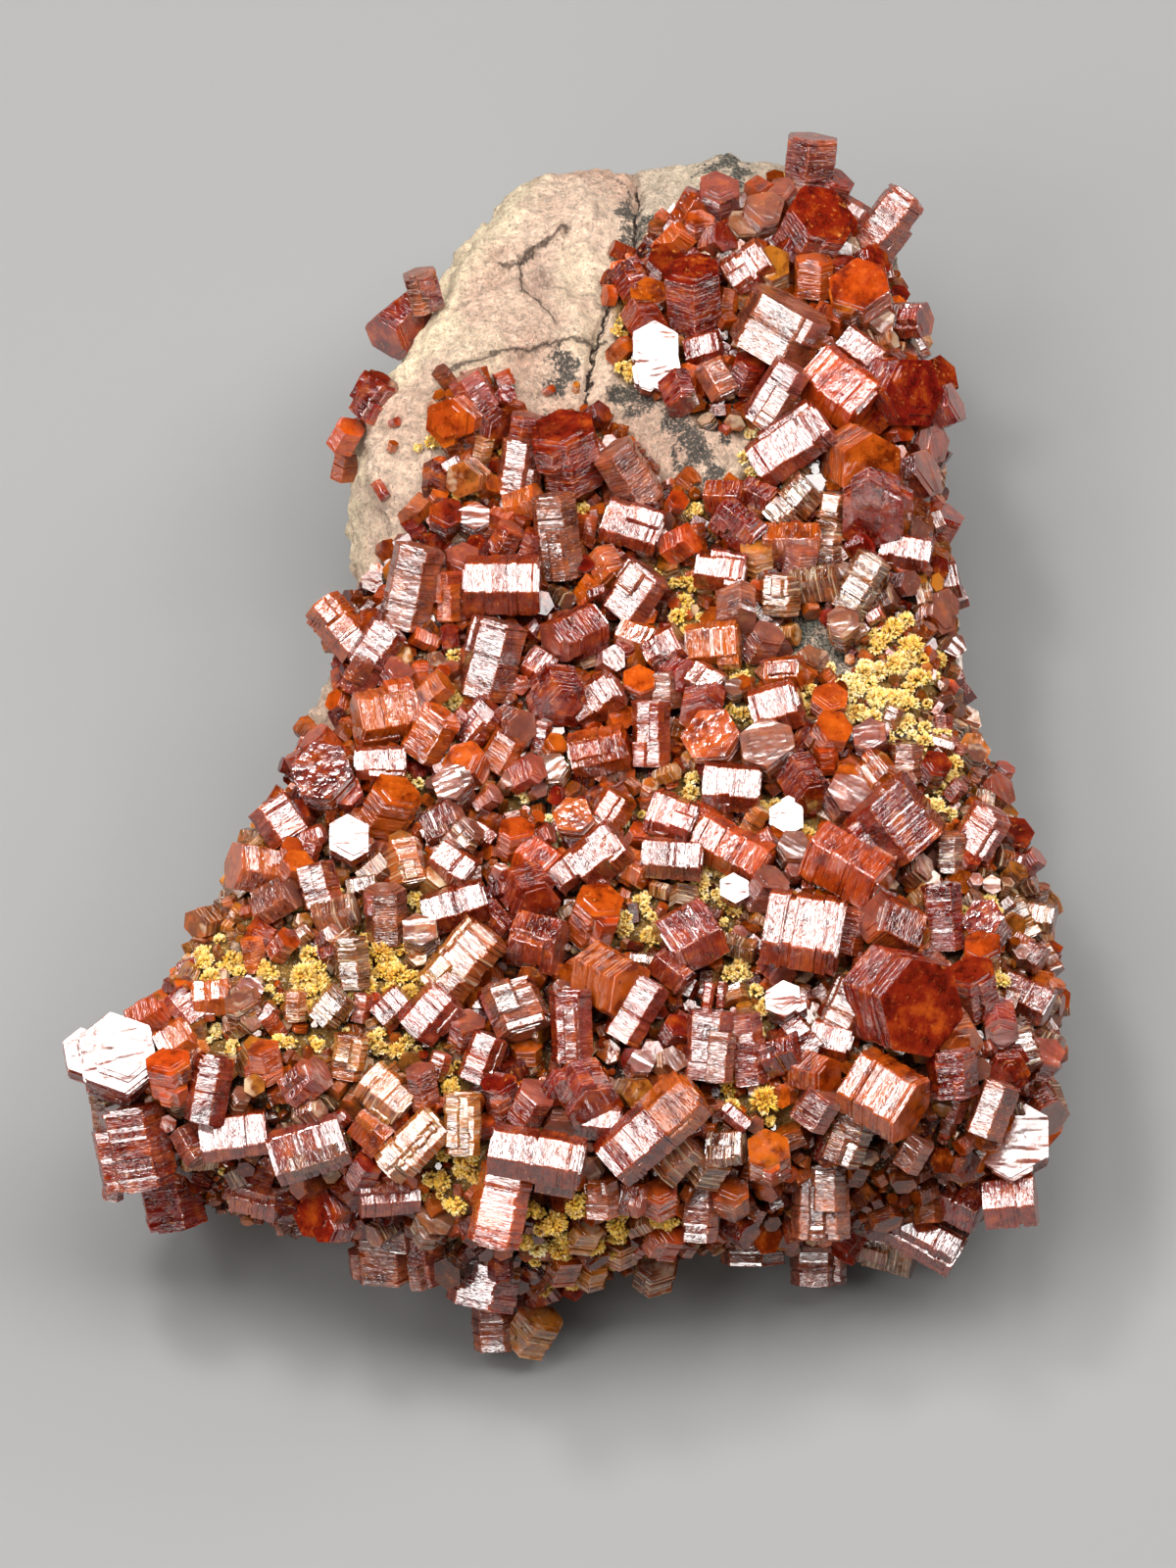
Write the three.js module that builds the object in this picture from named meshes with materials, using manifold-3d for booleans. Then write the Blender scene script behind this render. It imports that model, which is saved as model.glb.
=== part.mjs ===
// Vanadinite on matrix: a hand-sized piece of pale rock that lies on its flat broken back, with its display
// face carpeted by six-sided red vanadinite prisms. Millimetres, +Z up, the rock's flat back at Z = 0.
import * as THREE from "three";
import { mergeVertices } from "three/addons/utils/BufferGeometryUtils.js";
import Module from "manifold-3d";

const wasm = await Module();
wasm.setup();

// ---- Driving dimensions ----
const CENTRE = new THREE.Vector3(-1.54, 6.28, 0); // of the specimen's box, in the coordinates used below
const GAP = 0.3; // clearance between neighbouring solids
const ROCK_HEIGHT = 32; // the gently domed top above the flat back
const ROCK_SIDES = 36; // points round the rock
const ROCK_RIDGE = 3; // how far the bare ridge at the upper left stands above the rest
const RIDGE_PLACE = { at: [-11, 45], half: [8, 20] }; // its middle and its half widths, [x, y]
const ROCK_ROUGHNESS = 0.9; // height of the waves on its broken faces
const BROAD_SHARE = 0.6; // how much of that height is in the broad waves
const CRUST_THICKNESS = 2.2; // the drusy carpet of small crystals between the large ones
const CRUST_SLACK = 70; // how far the crust's outline is swept to each side of the display plane
const SMALLEST_BODY = 72; // mm3: lone crystals below this belong to the crust
const FLOOR_CLEARANCE = 0.4; // lowest point of any crystal above the surface the rock rests on
const SEAT_BASE = 1; // a crystal's middle stands at least this far out from the rock
const SEAT_END = 0.45; // how much of an upright crystal's length lies between its middle and the rock
const SEAT_SIDE = 0.75; // how much of a lying crystal's radius lies between its middle and the rock
const SEARCH_STEP = 0.02; // share of the way to the middle taken at a time when looking for the rock

// The display plane, in which crystals are placed: tilted towards -Y, as the specimen is looked at.
const DISPLAY_TILT = THREE.MathUtils.degToRad(60);
const ACROSS = new THREE.Vector3(1, 0, 0);
const UP = new THREE.Vector3(0, Math.sin(DISPLAY_TILT), Math.cos(DISPLAY_TILT));
const OUT = new THREE.Vector3(0, -Math.cos(DISPLAY_TILT), Math.sin(DISPLAY_TILT));
const DISPLAY_ORIGIN = new THREE.Vector3(0, 0, 20);

// The rock's widest outline seen from above, [x, y], anticlockwise from the front.
const ROCK_OUTLINE = [
  [-8, -54], [4, -51], [18, -48], [30, -47.5], [40, -44], [44.5, -37], [45.5, -30], [44, -18.5],
  [41.5, -6.9], [37, 5], [35.3, 16.5], [35, 27.7], [34, 39.3], [32, 50.8], [30, 61], [26.5, 67],
  [19, 70.5], [14, 71.5], [8, 71], [3, 68.5], [-6, 68], [-10.5, 64.5], [-16, 58], [-20.5, 51],
  [-23, 43], [-24.5, 35.5], [-22, 28], [-23.8, 21], [-26.5, 13.5], [-29, 6], [-32.3, -7], [-37, -18.5],
  [-42, -30], [-46, -37], [-44, -43], [-34, -46], [-20, -49],
];
const ROCK_HUB = new THREE.Vector2(0, 5); // the rings of the rock shrink towards this point

// The rock's rings from the flat back to the top's middle: [share of the outline, share of the height].
const ROCK_PROFILE = [
  [0.88, 0], [0.95, 0.24], [1, 0.52], [0.985, 0.78], [0.92, 0.95], [0.7, 1], [0.35, 1],
];

// The edge of the drusy carpet on the display plane, [across, up], clockwise from the crown.
const CRUST_OUTLINE = [
  [8, 61], [13, 66], [22, 71], [30, 67], [38, 52], [42, 38], [42, 12], [50, -4], [54, -20], [53, -44],
  [40, -60], [-5, -70], [-45, -60], [-58, -36], [-56, -22], [-42, -17], [-36, -3], [-30, 4], [-25, 5],
  [-25, 17], [-20, 25], [-17, 30], [-16, 38], [-9, 42], [-4, 38], [1, 38], [4, 46], [3, 54],
];
const CRUST_END = { back: [62, 25], front: [-56, 3] }; // [y, z]: on the walls the crust ends on this slant

// Crystal colours by tone.
const TONES = {
  red: "#8f1f12",
  orange: "#c2420f",
  amber: "#b8721f",
  brown: "#6e2c1a",
  mauve: "#a9604f",
  pale: "#d3a79c",
};

// The crystals, zone by zone. One row is one hexagonal prism:
// [across, up, heading, lift, spin, radius, length, perch, tone]
// across, up: its middle on the display plane. heading: where its long axis points, in degrees from
// "across" towards "up". lift: how far the axis leans out of the plane, 90 is end-on. spin: its turn
// about the axis, 0 has an edge facing out and 30 a flat side. radius: centre to corner.
// perch: extra height above the bed it grew on.
const CRYSTALS = {
  crown: [
    [22.8, 63.2, 84, 14, 0, 3.1, 7, 0.4, "mauve"],
    [24.6, 60.9, 60, 30, 0, 2.3, 4.2, 0.5, "red"],
    [23.2, 57.2, 60, 50, 0, 3.6, 6, 0, "red"],
    [18, 58.4, 75, 60, 0, 2.3, 4, 0.2, "mauve"],
    [13.5, 60.2, 90, 50, 0, 2.3, 4, 0, "mauve"],
  ],
  crown_right: [
    [30.2, 56.8, 53, 8, 16, 2.3, 9.4, 1.2, "pale"],
    [28.4, 53.4, 30, 40, 0, 2, 3.6, 0, "red"],
    [28, 50, 100, 60, 0, 3.2, 5, 0.3, "orange"],
    [23.3, 52.1, 88, 25, 12, 2.1, 3.9, 0.4, "orange"],
    [30.4, 47.4, -60, 40, 0, 1.9, 3.4, 0.2, "mauve"],
    [33, 47.6, 0, 30, 10, 2, 3.8, 0, "red"],
    [27.8, 44.2, -36, 10, 14, 2, 4.6, 1.2, "pale"],
    [25.6, 40.3, -38, 15, 14, 3.4, 7, 0.6, "orange"],
    [31.5, 40.3, 0, 50, 0, 3.8, 6, 0.2, "red"],
    [35.2, 41.4, 30, 40, 0, 2.2, 3.6, 0, "red"],
    [36, 38.4, 20, 20, 0, 2.4, 3.8, 0, "mauve"],
  ],
  upper_centre: [
    [19.6, 46.6, 62, 12, 15, 4.5, 6, 0.8, "mauve"],
    [16.5, 53, 35, 10, 15, 2.4, 4.4, 0.8, "pale"],
    [18.8, 52.6, 90, 60, 0, 2.2, 3.4, 0, "amber"],
    [7, 44.6, 90, 75, 0, 2.6, 2.6, 0.8, "pale"],
    [7.3, 42.4, 90, 75, 10, 2.4, 2.6, 0.4, "pale"],
    [9.2, 40, -70, 40, 0, 2, 3.4, 0.3, "red"],
  ],
  upper_left: [
    [11, 50, 95, 35, 0, 3.2, 6.5, 0.3, "red"],
    [7.7, 52.8, 70, 50, 0, 2.2, 3.6, 0.2, "red"],
    [4.3, 51.5, -60, 30, 0, 2, 3.6, 0, "red"],
    [6.2, 49.6, 100, 70, 0, 2, 3, 0.2, "orange"],
    [5.7, 47.6, -60, 60, 0, 2.2, 3.4, 0.2, "red"],
  ],
  upper_right: [
    [19.2, 39.8, 58, 12, 14, 2.3, 6.8, 2.4, "mauve"],
    [20.7, 34.6, 35, 8, 14, 2.75, 8.3, 1.8, "pale"],
    [27.8, 33.2, -30, 60, 0, 3.6, 5.4, 0.2, "orange"],
    [29, 28.4, -90, 60, 0, 3.6, 5.4, 0.2, "red"],
    [33, 31.2, 20, 30, 0, 2.8, 4.4, 0.2, "mauve"],
    [34.2, 34.8, 0, 40, 10, 2.2, 3.8, 0, "pale"],
    [17.5, 29.2, -25, 25, 0, 1.9, 3.4, 0, "red"],
    [20.9, 28.6, 45, 5, 8, 2.2, 5.5, 0.3, "brown"],
  ],
  right_edge_upper: [
    [35.4, 26, 60, 20, 0, 2.7, 4.8, 0.2, "red"],
    [32.4, 23.8, -10, 5, 12, 2, 5, 0.6, "pale"],
    [34.6, 20.2, 12, 5, 14, 2, 7, 1.2, "pale"],
    [34.6, 16.8, 20, 45, 0, 2.5, 4.4, 0.2, "mauve"],
    [27.6, 20.4, 60, 5, 14, 2.1, 6.2, 1.6, "brown"],
    [23.2, 20.2, 10, 10, 0, 2, 4.8, 0.2, "brown"],
    [19.6, 19.2, 88, 10, 12, 2.1, 3.8, 0.2, "brown"],
    [20.8, 24.8, 0, 10, 0, 2, 5.6, 0.2, "orange"],
    [26, 15.8, 100, 70, 0, 1.9, 3, 0.4, "brown"],
  ],
  centre_upper: [
    [13.5, 21.6, -8, 6, 14, 2.1, 5, 1.6, "pale"],
    [14.9, 17.8, -90, 45, 0, 2.4, 4, 0.4, "mauve"],
    [15.4, 26, -40, 15, 0, 2.4, 5, 0.2, "red"],
    [4.6, 26.2, -18, 8, 14, 2.4, 5.8, 1.2, "pale"],
    [4.2, 31.4, -57, -20, 12, 2.6, 6.6, 1.6, "mauve"],
    [-2, 33.6, 100, 35, 0, 3.6, 6.6, 0.4, "red"],
    [-7.3, 32.3, 82, 10, 14, 2, 5.6, 0.8, "mauve"],
  ],
  ridge: [
    [-13.5, 37.4, 20, -60, 0, 2.5, 3.8, 0.2, "orange"],
    [-11.6, 39.9, -60, -10, 12, 1.9, 4.2, 0.8, "pale"],
    [-10.2, 37.2, -30, 40, 0, 1.9, 3.4, 0.3, "red"],
    [-12.3, 31.2, 20, -65, 0, 2, 3, 0.2, "amber"],
    [-14.4, 27, 90, 70, 0, 1.9, 2.8, 0, "red"],
  ],
  ridge_foot: [
    [-3, 25.2, 97, 10, 14, 2.3, 8.5, 1.6, "mauve"],
    [-6.4, 28.4, 20, 20, 0, 1.9, 3.4, 0.2, "orange"],
    [-8.7, 20.2, 0, 3, 14, 3.3, 7.4, 2, "pale"],
    [-13.9, 19.2, 90, 10, 0, 1.9, 5, 0.4, "orange"],
    [-17.9, 20, 78, 10, 14, 2.8, 8.4, 1, "mauve"],
  ],
  flank: [
    [-17, 50.6, 105, 20, 0, 1.9, 4, 0, "mauve"],
    [-19.1, 47.2, 40, -35, 0, 3, 5, 0, "red"],
    [-22, 39.7, 60, 20, 0, 2.1, 4.2, 0, "red"],
  ],
  left_edge: [
    [-25.2, 16, -50, 10, 24, 2.3, 6.2, 0.6, "orange"],
    [-21.3, 13.8, 57, 8, 14, 2.2, 4.8, 1.4, "pale"],
    [-22.8, 11, 57, 15, 0, 2.1, 3.8, 0.2, "mauve"],
    [-20.5, 7.2, 10, -18, 26, 2.7, 6, 0.4, "orange"],
    [-15.8, 5, 60, 20, 10, 2.4, 5, 0.2, "orange"],
    [-21, 2.2, 3, 3, 12, 1.9, 5, 1.2, "pale"],
    [-26.6, 0.2, 110, 68, 0, 3.3, 4.6, 0.4, "red"],
    [-20.3, -2.4, 60, 40, 0, 2.7, 5, 0.2, "orange"],
    [-31.1, -3.8, -55, 8, 12, 2.4, 4.4, 0.8, "pale"],
    [-33.5, -8.6, 170, 22, 0, 2.7, 5, 0.2, "orange"],
    [-31.5, -12, 30, 25, 0, 2, 4.2, 0, "mauve"],
  ],
  left_centre: [
    [-9.8, 12.6, 75, 8, 14, 2.9, 7.8, 1.4, "mauve"],
    [-11.2, 6.2, 50, 15, 12, 2, 4.4, 0.2, "red"],
    [-12, 2, 130, 60, 0, 2.2, 3.6, 0.2, "orange"],
    [-7.5, 5.8, -20, 60, 0, 2, 3.2, 0.4, "mauve"],
    [-13.5, -0.6, 110, 60, 0, 2.2, 3.6, 0.4, "mauve"],
    [-14.8, -3.9, 30, 20, 12, 1.9, 4, 0.3, "mauve"],
    [-12.6, -5.6, 50, 20, 12, 1.9, 3.4, 0.3, "brown"],
    [-13.7, -8.3, -35, 12, 14, 2, 4, 0.8, "pale"],
    [-7.4, -5.7, 80, 45, 0, 1.9, 3.4, 0.2, "orange"],
    [-18.4, -8.1, -75, 15, 12, 2.2, 4.6, 0.4, "amber"],
    [-24.1, -5.9, 90, 74, 0, 2.4, 3.6, 0.6, "pale"],
    [-27.2, -10.3, 105, -8, 12, 2.2, 4.2, 0.8, "pale"],
  ],
  centre: [
    [-1.3, 15.3, 27, -30, 12, 2.5, 5.4, 0.8, "pale"],
    [-2.8, 9, -70, 60, 0, 2.9, 4.4, 0.3, "red"],
    [0.9, 8.5, 35, 15, 14, 2.3, 4.8, 0.6, "pale"],
    [4.9, 19.4, 55, 10, 12, 2.7, 5.4, 0.8, "mauve"],
    [2, 22, -60, 30, 0, 1.9, 3.4, 0.2, "orange"],
    [7.8, 13.8, 30, 15, 14, 2, 3.8, 0.8, "pale"],
    [9.2, 11.3, -20, 50, 0, 1.9, 3.2, 0, "red"],
    [12.7, 14.3, 5, 10, 26, 2.2, 5.2, 0.4, "orange"],
    [11.6, 7.7, -100, 60, 0, 2.3, 3.8, 0.2, "red"],
    [6.3, 5.1, 90, 4, 16, 2, 6.6, 1.6, "pale"],
    [1.2, 3.4, 12, 10, 26, 2.5, 5.6, 0.6, "orange"],
    [12.8, 4.1, 120, 72, 0, 3, 4.2, 0.4, "orange"],
  ],
  middle: [
    [14.5, -0.4, -4, 3, 14, 2.5, 5.6, 1.2, "pale"],
    [8.6, -3.2, -20, 8, 14, 2.4, 4.6, 0.8, "pale"],
    [8.6, -7.5, -4, 6, 12, 2.2, 6, 0.6, "mauve"],
    [1.3, -7.1, 38, 10, 14, 2.6, 5.2, 1.2, "pale"],
    [4.5, -8.4, -30, 25, 0, 1.9, 3.6, 0.2, "orange"],
    [2.3, -2.8, 58, 10, 14, 2, 4.2, 0.4, "orange"],
    [-1.3, -3.9, 110, 65, 0, 2.2, 3.6, 0.2, "orange"],
    [-5, -7.8, -35, 25, 10, 2.1, 4, 0.2, "orange"],
    [-6.2, -11.3, -50, 50, 0, 2.8, 4.6, 0.2, "red"],
    [14.6, -6.6, -28, 12, 25, 2.5, 7.6, 0.2, "orange"],
  ],
  right_centre: [
    [20, 11.2, 5, 20, 12, 1.9, 3.6, 0.4, "orange"],
    [19.1, 7.6, 17, 8, 14, 2.5, 4.6, 0.8, "pale"],
    [18.3, 3.3, 100, 70, 0, 2.9, 4.2, 0.4, "mauve"],
    [24.4, 8.1, 80, 65, 0, 1.9, 3.2, 0.2, "orange"],
    [24.5, 4.8, 60, 50, 0, 2.1, 3.6, 0.2, "orange"],
    [21.8, 0, -60, 40, 0, 2.6, 4.6, 0.2, "red"],
    [26, -1.6, 60, 60, 0, 2.3, 3.8, 0.3, "mauve"],
    [28.5, 4.4, 95, 68, 0, 1.9, 3, 0.6, "mauve"],
    [28.8, 1, 45, 20, 10, 1.9, 3.8, 0.2, "orange"],
    [30.9, -4, -51, -8, 14, 4.2, 7, 1.2, "red"],
    [20, -3.7, 90, 72, 0, 1.9, 3, 0.6, "pale"],
    [26.2, -8.6, -30, 18, 0, 3.5, 8, 0.2, "orange"],
  ],
  right_edge: [
    [39.7, -4.6, 58, 12, 14, 2.3, 4.4, 1, "pale"],
    [42.8, -5.8, 60, 50, 0, 2, 3.4, 0, "red"],
    [35.8, -13.4, 95, 8, 14, 2.1, 6.6, 0.8, "red"],
    [40.2, -14.2, 120, 60, 0, 2.2, 3.8, 0.2, "red"],
    [39.7, -17, 90, 60, 0, 2, 3.4, 0.2, "orange"],
    [38.6, -20.8, 100, 40, 0, 2.7, 5, 0.3, "red"],
    [44.2, -21.6, -25, 12, 8, 2.3, 5, 0.6, "pale"],
    [41.4, -24, -80, 50, 0, 2, 3.6, 0.4, "pale"],
    [37, -25.2, -60, 50, 0, 2.4, 4, 0.3, "orange"],
    [36.7, -29, 95, 12, 24, 2.5, 4.6, 0.4, "red"],
    [42, -28.4, -60, 60, 0, 2.1, 3.6, 0.2, "red"],
  ],
  lower_centre: [
    [-13.3, -12.3, 18, 5, 12, 2.4, 6.4, 0.8, "red"],
    [-9.3, -14.1, -45, 20, 0, 1.9, 3.8, 0.2, "red"],
    [-12.5, -18, 49, 8, 16, 2.7, 8, 2.2, "amber"],
    [-15.8, -23, 49, 8, 16, 2.4, 5, 1.6, "pale"],
    [-4.9, -15.9, -15, 15, 0, 3.3, 4.8, 0.4, "pale"],
    [0.7, -13.6, 70, 45, 0, 2.7, 5.2, 0.4, "orange"],
    [10.3, -15.5, 30, -8, 4, 3.4, 5.2, 0.6, "pale"],
    [2.2, -20.1, -30, 45, 0, 3.4, 5.6, 0.2, "orange"],
    [4.9, -22.8, 60, 4, 14, 2, 6.6, 1.4, "pale"],
    [-1.6, -24.3, 92, 4, 16, 2.3, 7.2, 1.8, "pale"],
    [-7.4, -22.7, -68, 20, 14, 3, 5, 1.2, "mauve"],
    [-12.3, -24.9, 80, 45, 0, 1.9, 3.4, 0.4, "pale"],
    [-10.7, -27.5, 70, 8, 14, 2, 4.8, 0.8, "pale"],
    [-0.2, -31, -60, 45, 0, 3.1, 5, 0.2, "red"],
    [-5.9, -32.2, 60, 35, 10, 2, 4, 0.4, "pale"],
    [-8.6, -31.4, 100, 40, 0, 1.9, 4, 0.2, "red"],
    [-5.1, -37.3, -10, 5, 14, 3, 9.2, 1.8, "pale"],
  ],
  lower_right: [
    [17.8, -10.8, 60, 40, 0, 2, 3.8, 0.2, "mauve"],
    [21.6, -14.9, -9, 4, 8, 4.4, 7.4, 1.6, "pale"],
    [30.7, -14.1, -25, -32, 12, 2.8, 5, 0.6, "pale"],
    [31.6, -22, -20, 60, 8, 5.1, 8, 0.6, "red"],
    [34.9, -18.8, -40, 20, 0, 2.1, 4, 0, "mauve"],
    [26.2, -22.3, 65, 10, 12, 2.3, 5, 0.6, "mauve"],
    [21.4, -25.8, -50, 15, 10, 1.9, 3.8, 0.2, "red"],
    [19.8, -22.2, 95, 68, 0, 1.9, 3.2, 0.6, "pale"],
    [12, -26.2, 85, 5, 14, 2.4, 7, 1.2, "mauve"],
    [15.9, -26.6, 98, 6, 16, 2, 7.2, 1.2, "pale"],
    [19.2, -27.4, 20, 20, 0, 2.2, 4.8, 0.3, "red"],
    [22.7, -29.2, -20, 40, 0, 2.3, 3.8, 0.4, "orange"],
    [23, -32.5, 60, 20, 12, 2, 3.8, 0.4, "mauve"],
    [29.6, -31.4, -30, 22, 26, 3.8, 7, 0.4, "orange"],
    [26.1, -35.6, 70, 12, 12, 2.2, 4.8, 0, "brown"],
  ],
  left_foot: [
    [-37.8, -21.5, 5, 5, 4, 2.1, 3.6, 0.6, "orange"],
    [-41.4, -25.8, 33, 12, 10, 2.1, 3.6, 0.6, "orange"],
    [-44, -23.3, 30, 30, 0, 2, 4, 0, "orange"],
    [-34.6, -22.6, 100, 40, 0, 1.9, 3.4, 0, "brown"],
    [-47.3, -27.6, 90, 74, 10, 4.3, 5.4, 0.2, "pale"],
    [-41.9, -29.3, 100, 45, 0, 2.3, 4, 0.4, "orange"],
    [-38, -30.6, 80, 5, 16, 2.3, 6.8, 1.2, "red"],
    [-32.4, -28, 100, 30, 0, 1.9, 3.6, 0.2, "orange"],
    [-28.3, -30, 40, 35, 0, 2, 4, 0.4, "pale"],
    [-48.4, -32.8, 100, 20, 0, 2, 4, -0.5, "brown"],
    [-45.3, -36.4, 102, 10, 12, 3.6, 8.2, 0.6, "red"],
    [-42.1, -41, 102, 10, 4, 3.4, 7.4, 0.2, "red"],
    [-39.6, -36.2, -60, 15, 12, 1.9, 3.6, 0.6, "pale"],
    [-35.5, -35.3, 8, 5, 12, 2.6, 6.8, 1, "pale"],
    [-28, -36.7, 18, 5, 24, 2.7, 7.6, 1.2, "mauve"],
    [-33.3, -41.7, -15, 8, 10, 2.4, 4.8, 0.8, "pale"],
    [-26, -43, 0, -50, 0, 3.1, 4.8, 0.4, "red"],
  ],
  left_lower: [
    [-20.4, -13.2, 92, 18, 25, 2.2, 5.6, 0.6, "mauve"],
    [-24, -27.4, 80, 10, 20, 1.9, 4.4, 0.4, "amber"],
    [-20.2, -31, -40, 10, 12, 2.2, 5, 0.2, "amber"],
    [-21.7, -35, -40, 12, 0, 1.9, 3.8, 0.2, "orange"],
    [-17.6, -36.2, 45, 6, 14, 2.2, 7.2, 1.4, "amber"],
    [-22.4, -38.8, 60, 45, 0, 1.9, 3.4, 0, "red"],
    [-12.5, -34, 90, 4, 14, 2, 6.2, 1.2, "amber"],
    [-20, -41.5, 4, -8, 14, 1.9, 6, 1, "pale"],
    [-15.6, -44.2, 60, 60, 0, 2.1, 3.6, 0, "brown"],
    [-20.5, -46.6, 94, 25, 12, 3.5, 6.6, 0.4, "mauve"],
    [-16.1, -47.6, 100, 20, 0, 2.5, 5.2, 0.2, "mauve"],
  ],
  foot: [
    [-8.7, -42.2, 78, 5, 14, 2.9, 8, 1, "orange"],
    [-10.1, -49, 78, 5, 14, 3.9, 7.6, 0.4, "red"],
    [-9.5, -54.6, 95, 12, 20, 2.3, 5.4, 0.4, "mauve"],
    [-4.9, -51, 20, 20, 10, 1.9, 3.6, 0.4, "pale"],
    [-5.2, -55.6, 60, 40, 0, 2.2, 4.4, 0, "amber"],
    [-2.5, -48.2, 70, 50, 0, 2.1, 3.8, 0, "orange"],
    [1.2, -41.5, 95, 20, 10, 1.9, 3.8, 0.2, "orange"],
    [4, -41.6, -10, 25, 14, 1.9, 3.4, 0.6, "pale"],
    [8.2, -45.4, 60, 55, 0, 2.2, 3.8, 0, "orange"],
    [6.8, -49.2, 80, 60, 0, 2.2, 3.6, 0, "brown"],
    [8.3, -32.6, 42, 6, 24, 3.1, 5.8, 1.6, "orange"],
    [4.6, -36, 42, 6, 20, 2.9, 6.6, 1.6, "red"],
    [9, -37.6, 42, 10, 12, 1.9, 4.6, 0.2, "brown"],
  ],
  foot_right: [
    [13.9, -36.3, 0, 15, 14, 1.9, 3.6, 0, "brown"],
    [12.3, -38.4, 60, 45, 0, 2, 3.6, -0.4, "brown"],
    [18.2, -37.6, 95, 62, 0, 2.4, 4, 0.4, "orange"],
    [14.5, -41.5, 95, 60, 0, 2.1, 3.6, 0.2, "orange"],
    [11.3, -43, 88, 8, 14, 1.9, 6, 0.4, "mauve"],
    [16.6, -45.8, 90, 4, 16, 3.4, 5.6, 0.4, "mauve"],
    [23.3, -42, 90, 4, 20, 3.1, 7.4, 0.8, "mauve"],
    [23.6, -47.8, 90, 4, 20, 3, 6, 0.6, "mauve"],
    [32.4, -44.8, -29, 4, 14, 2.7, 11.6, 2, "red"],
    [36.4, -41.4, -25, 10, 4, 2.9, 7.6, 0, "red"],
    [30.4, -47, -15, 10, 0, 2.5, 6, -1, "brown"],
    [40.6, -32.7, 70, 6, 14, 2, 5.6, 1.6, "mauve"],
    [45.1, -32.6, -50, 35, 0, 2.7, 4.8, 0, "pale"],
    [43, -36.2, 90, 75, 0, 3.9, 4, 0.8, "pale"],
    [42.6, -42.2, 5, 6, 8, 3, 5.2, 0.6, "pale"],
  ],
};

// ---- Solids ----
function solidFrom(geometry) {
  const bare = geometry.clone();
  bare.deleteAttribute("normal");
  bare.deleteAttribute("uv");
  const merged = mergeVertices(bare, 1e-4);
  return new wasm.Manifold(
    new wasm.Mesh({
      numProp: 3,
      vertProperties: new Float32Array(merged.attributes.position.array),
      triVerts: new Uint32Array(merged.index.array),
    }),
  );
}

function geometryFrom(solid) {
  const mesh = solid.getMesh();
  const geometry = new THREE.BufferGeometry();
  geometry.setAttribute("position", new THREE.BufferAttribute(mesh.vertProperties, 3));
  geometry.setIndex(new THREE.BufferAttribute(mesh.triVerts, 1));
  geometry.computeVertexNormals();
  return geometry;
}

function joined(solids) {
  return solids.reduce((all, solid) => all.add(solid));
}

// ---- Rock ----
// Slow waves that make the broken rock uneven, from -1 to 1.
function unevenness(x, y, z) {
  const broad = Math.sin(0.19 * x + 0.11 * y + 1.3) * Math.cos(0.15 * y - 0.13 * z);
  const fine = Math.sin(0.47 * x - 0.31 * z + 0.6) * Math.sin(0.41 * y + 0.23 * x);
  return BROAD_SHARE * broad + (1 - BROAD_SHARE) * fine;
}

function ridgeHeight(x, y) {
  const { at, half } = RIDGE_PLACE;
  return ROCK_RIDGE * Math.exp(-(((x - at[0]) / half[0]) ** 2) - ((y - at[1]) / half[1]) ** 2);
}

// A closed skin of rings from the flat back to the top, grown outwards by a distance.
function rockGeometry(growth) {
  const outline = new THREE.CatmullRomCurve3(
    ROCK_OUTLINE.map(([x, y]) => new THREE.Vector3(x, y, 0)),
    true,
  ).getSpacedPoints(ROCK_SIDES);
  const positions = [];
  for (const [reach, rise] of ROCK_PROFILE) {
    for (let side = 0; side < ROCK_SIDES; side++) {
      const x = ROCK_HUB.x + (outline[side].x - ROCK_HUB.x) * reach;
      const y = ROCK_HUB.y + (outline[side].y - ROCK_HUB.y) * reach;
      const z = rise * ROCK_HEIGHT;
      const bump = ROCK_ROUGHNESS * unevenness(x, y, z);
      const outward = new THREE.Vector2(x, y).sub(ROCK_HUB).normalize().multiplyScalar(bump);
      const lift = rise > 0 ? (bump + ridgeHeight(x, y)) * rise : 0;
      positions.push(x + outward.x, y + outward.y, z + lift);
    }
  }
  const last = ROCK_PROFILE.length - 1;
  const top = positions.length / 3;
  positions.push(ROCK_HUB.x, ROCK_HUB.y, ROCK_HEIGHT + ridgeHeight(ROCK_HUB.x, ROCK_HUB.y));
  positions.push(ROCK_HUB.x, ROCK_HUB.y, 0);
  const faces = [];
  for (let side = 0; side < ROCK_SIDES; side++) {
    const next = (side + 1) % ROCK_SIDES;
    for (let ring = 0; ring < last; ring++) {
      const low = ring * ROCK_SIDES;
      const high = low + ROCK_SIDES;
      faces.push(low + side, low + next, high + side);
      faces.push(high + side, low + next, high + next);
    }
    faces.push(last * ROCK_SIDES + side, last * ROCK_SIDES + next, top);
    faces.push(next, side, top + 1);
  }
  const geometry = new THREE.BufferGeometry();
  geometry.setAttribute("position", new THREE.Float32BufferAttribute(positions, 3));
  geometry.setIndex(faces);
  geometry.computeVertexNormals();
  const place = geometry.attributes.position;
  const normal = geometry.attributes.normal;
  for (let i = 0; i < place.count; i++) {
    place.setXYZ(
      i,
      place.getX(i) + normal.getX(i) * growth,
      place.getY(i) + normal.getY(i) * growth,
      place.getZ(i) + normal.getZ(i) * growth,
    );
  }
  return geometry;
}

function rockSolid(growth) {
  return solidFrom(rockGeometry(growth));
}

// ---- Drusy crust ----
function displayFrame(origin) {
  return new THREE.Matrix4().makeBasis(ACROSS, UP, OUT).setPosition(origin);
}

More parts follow.
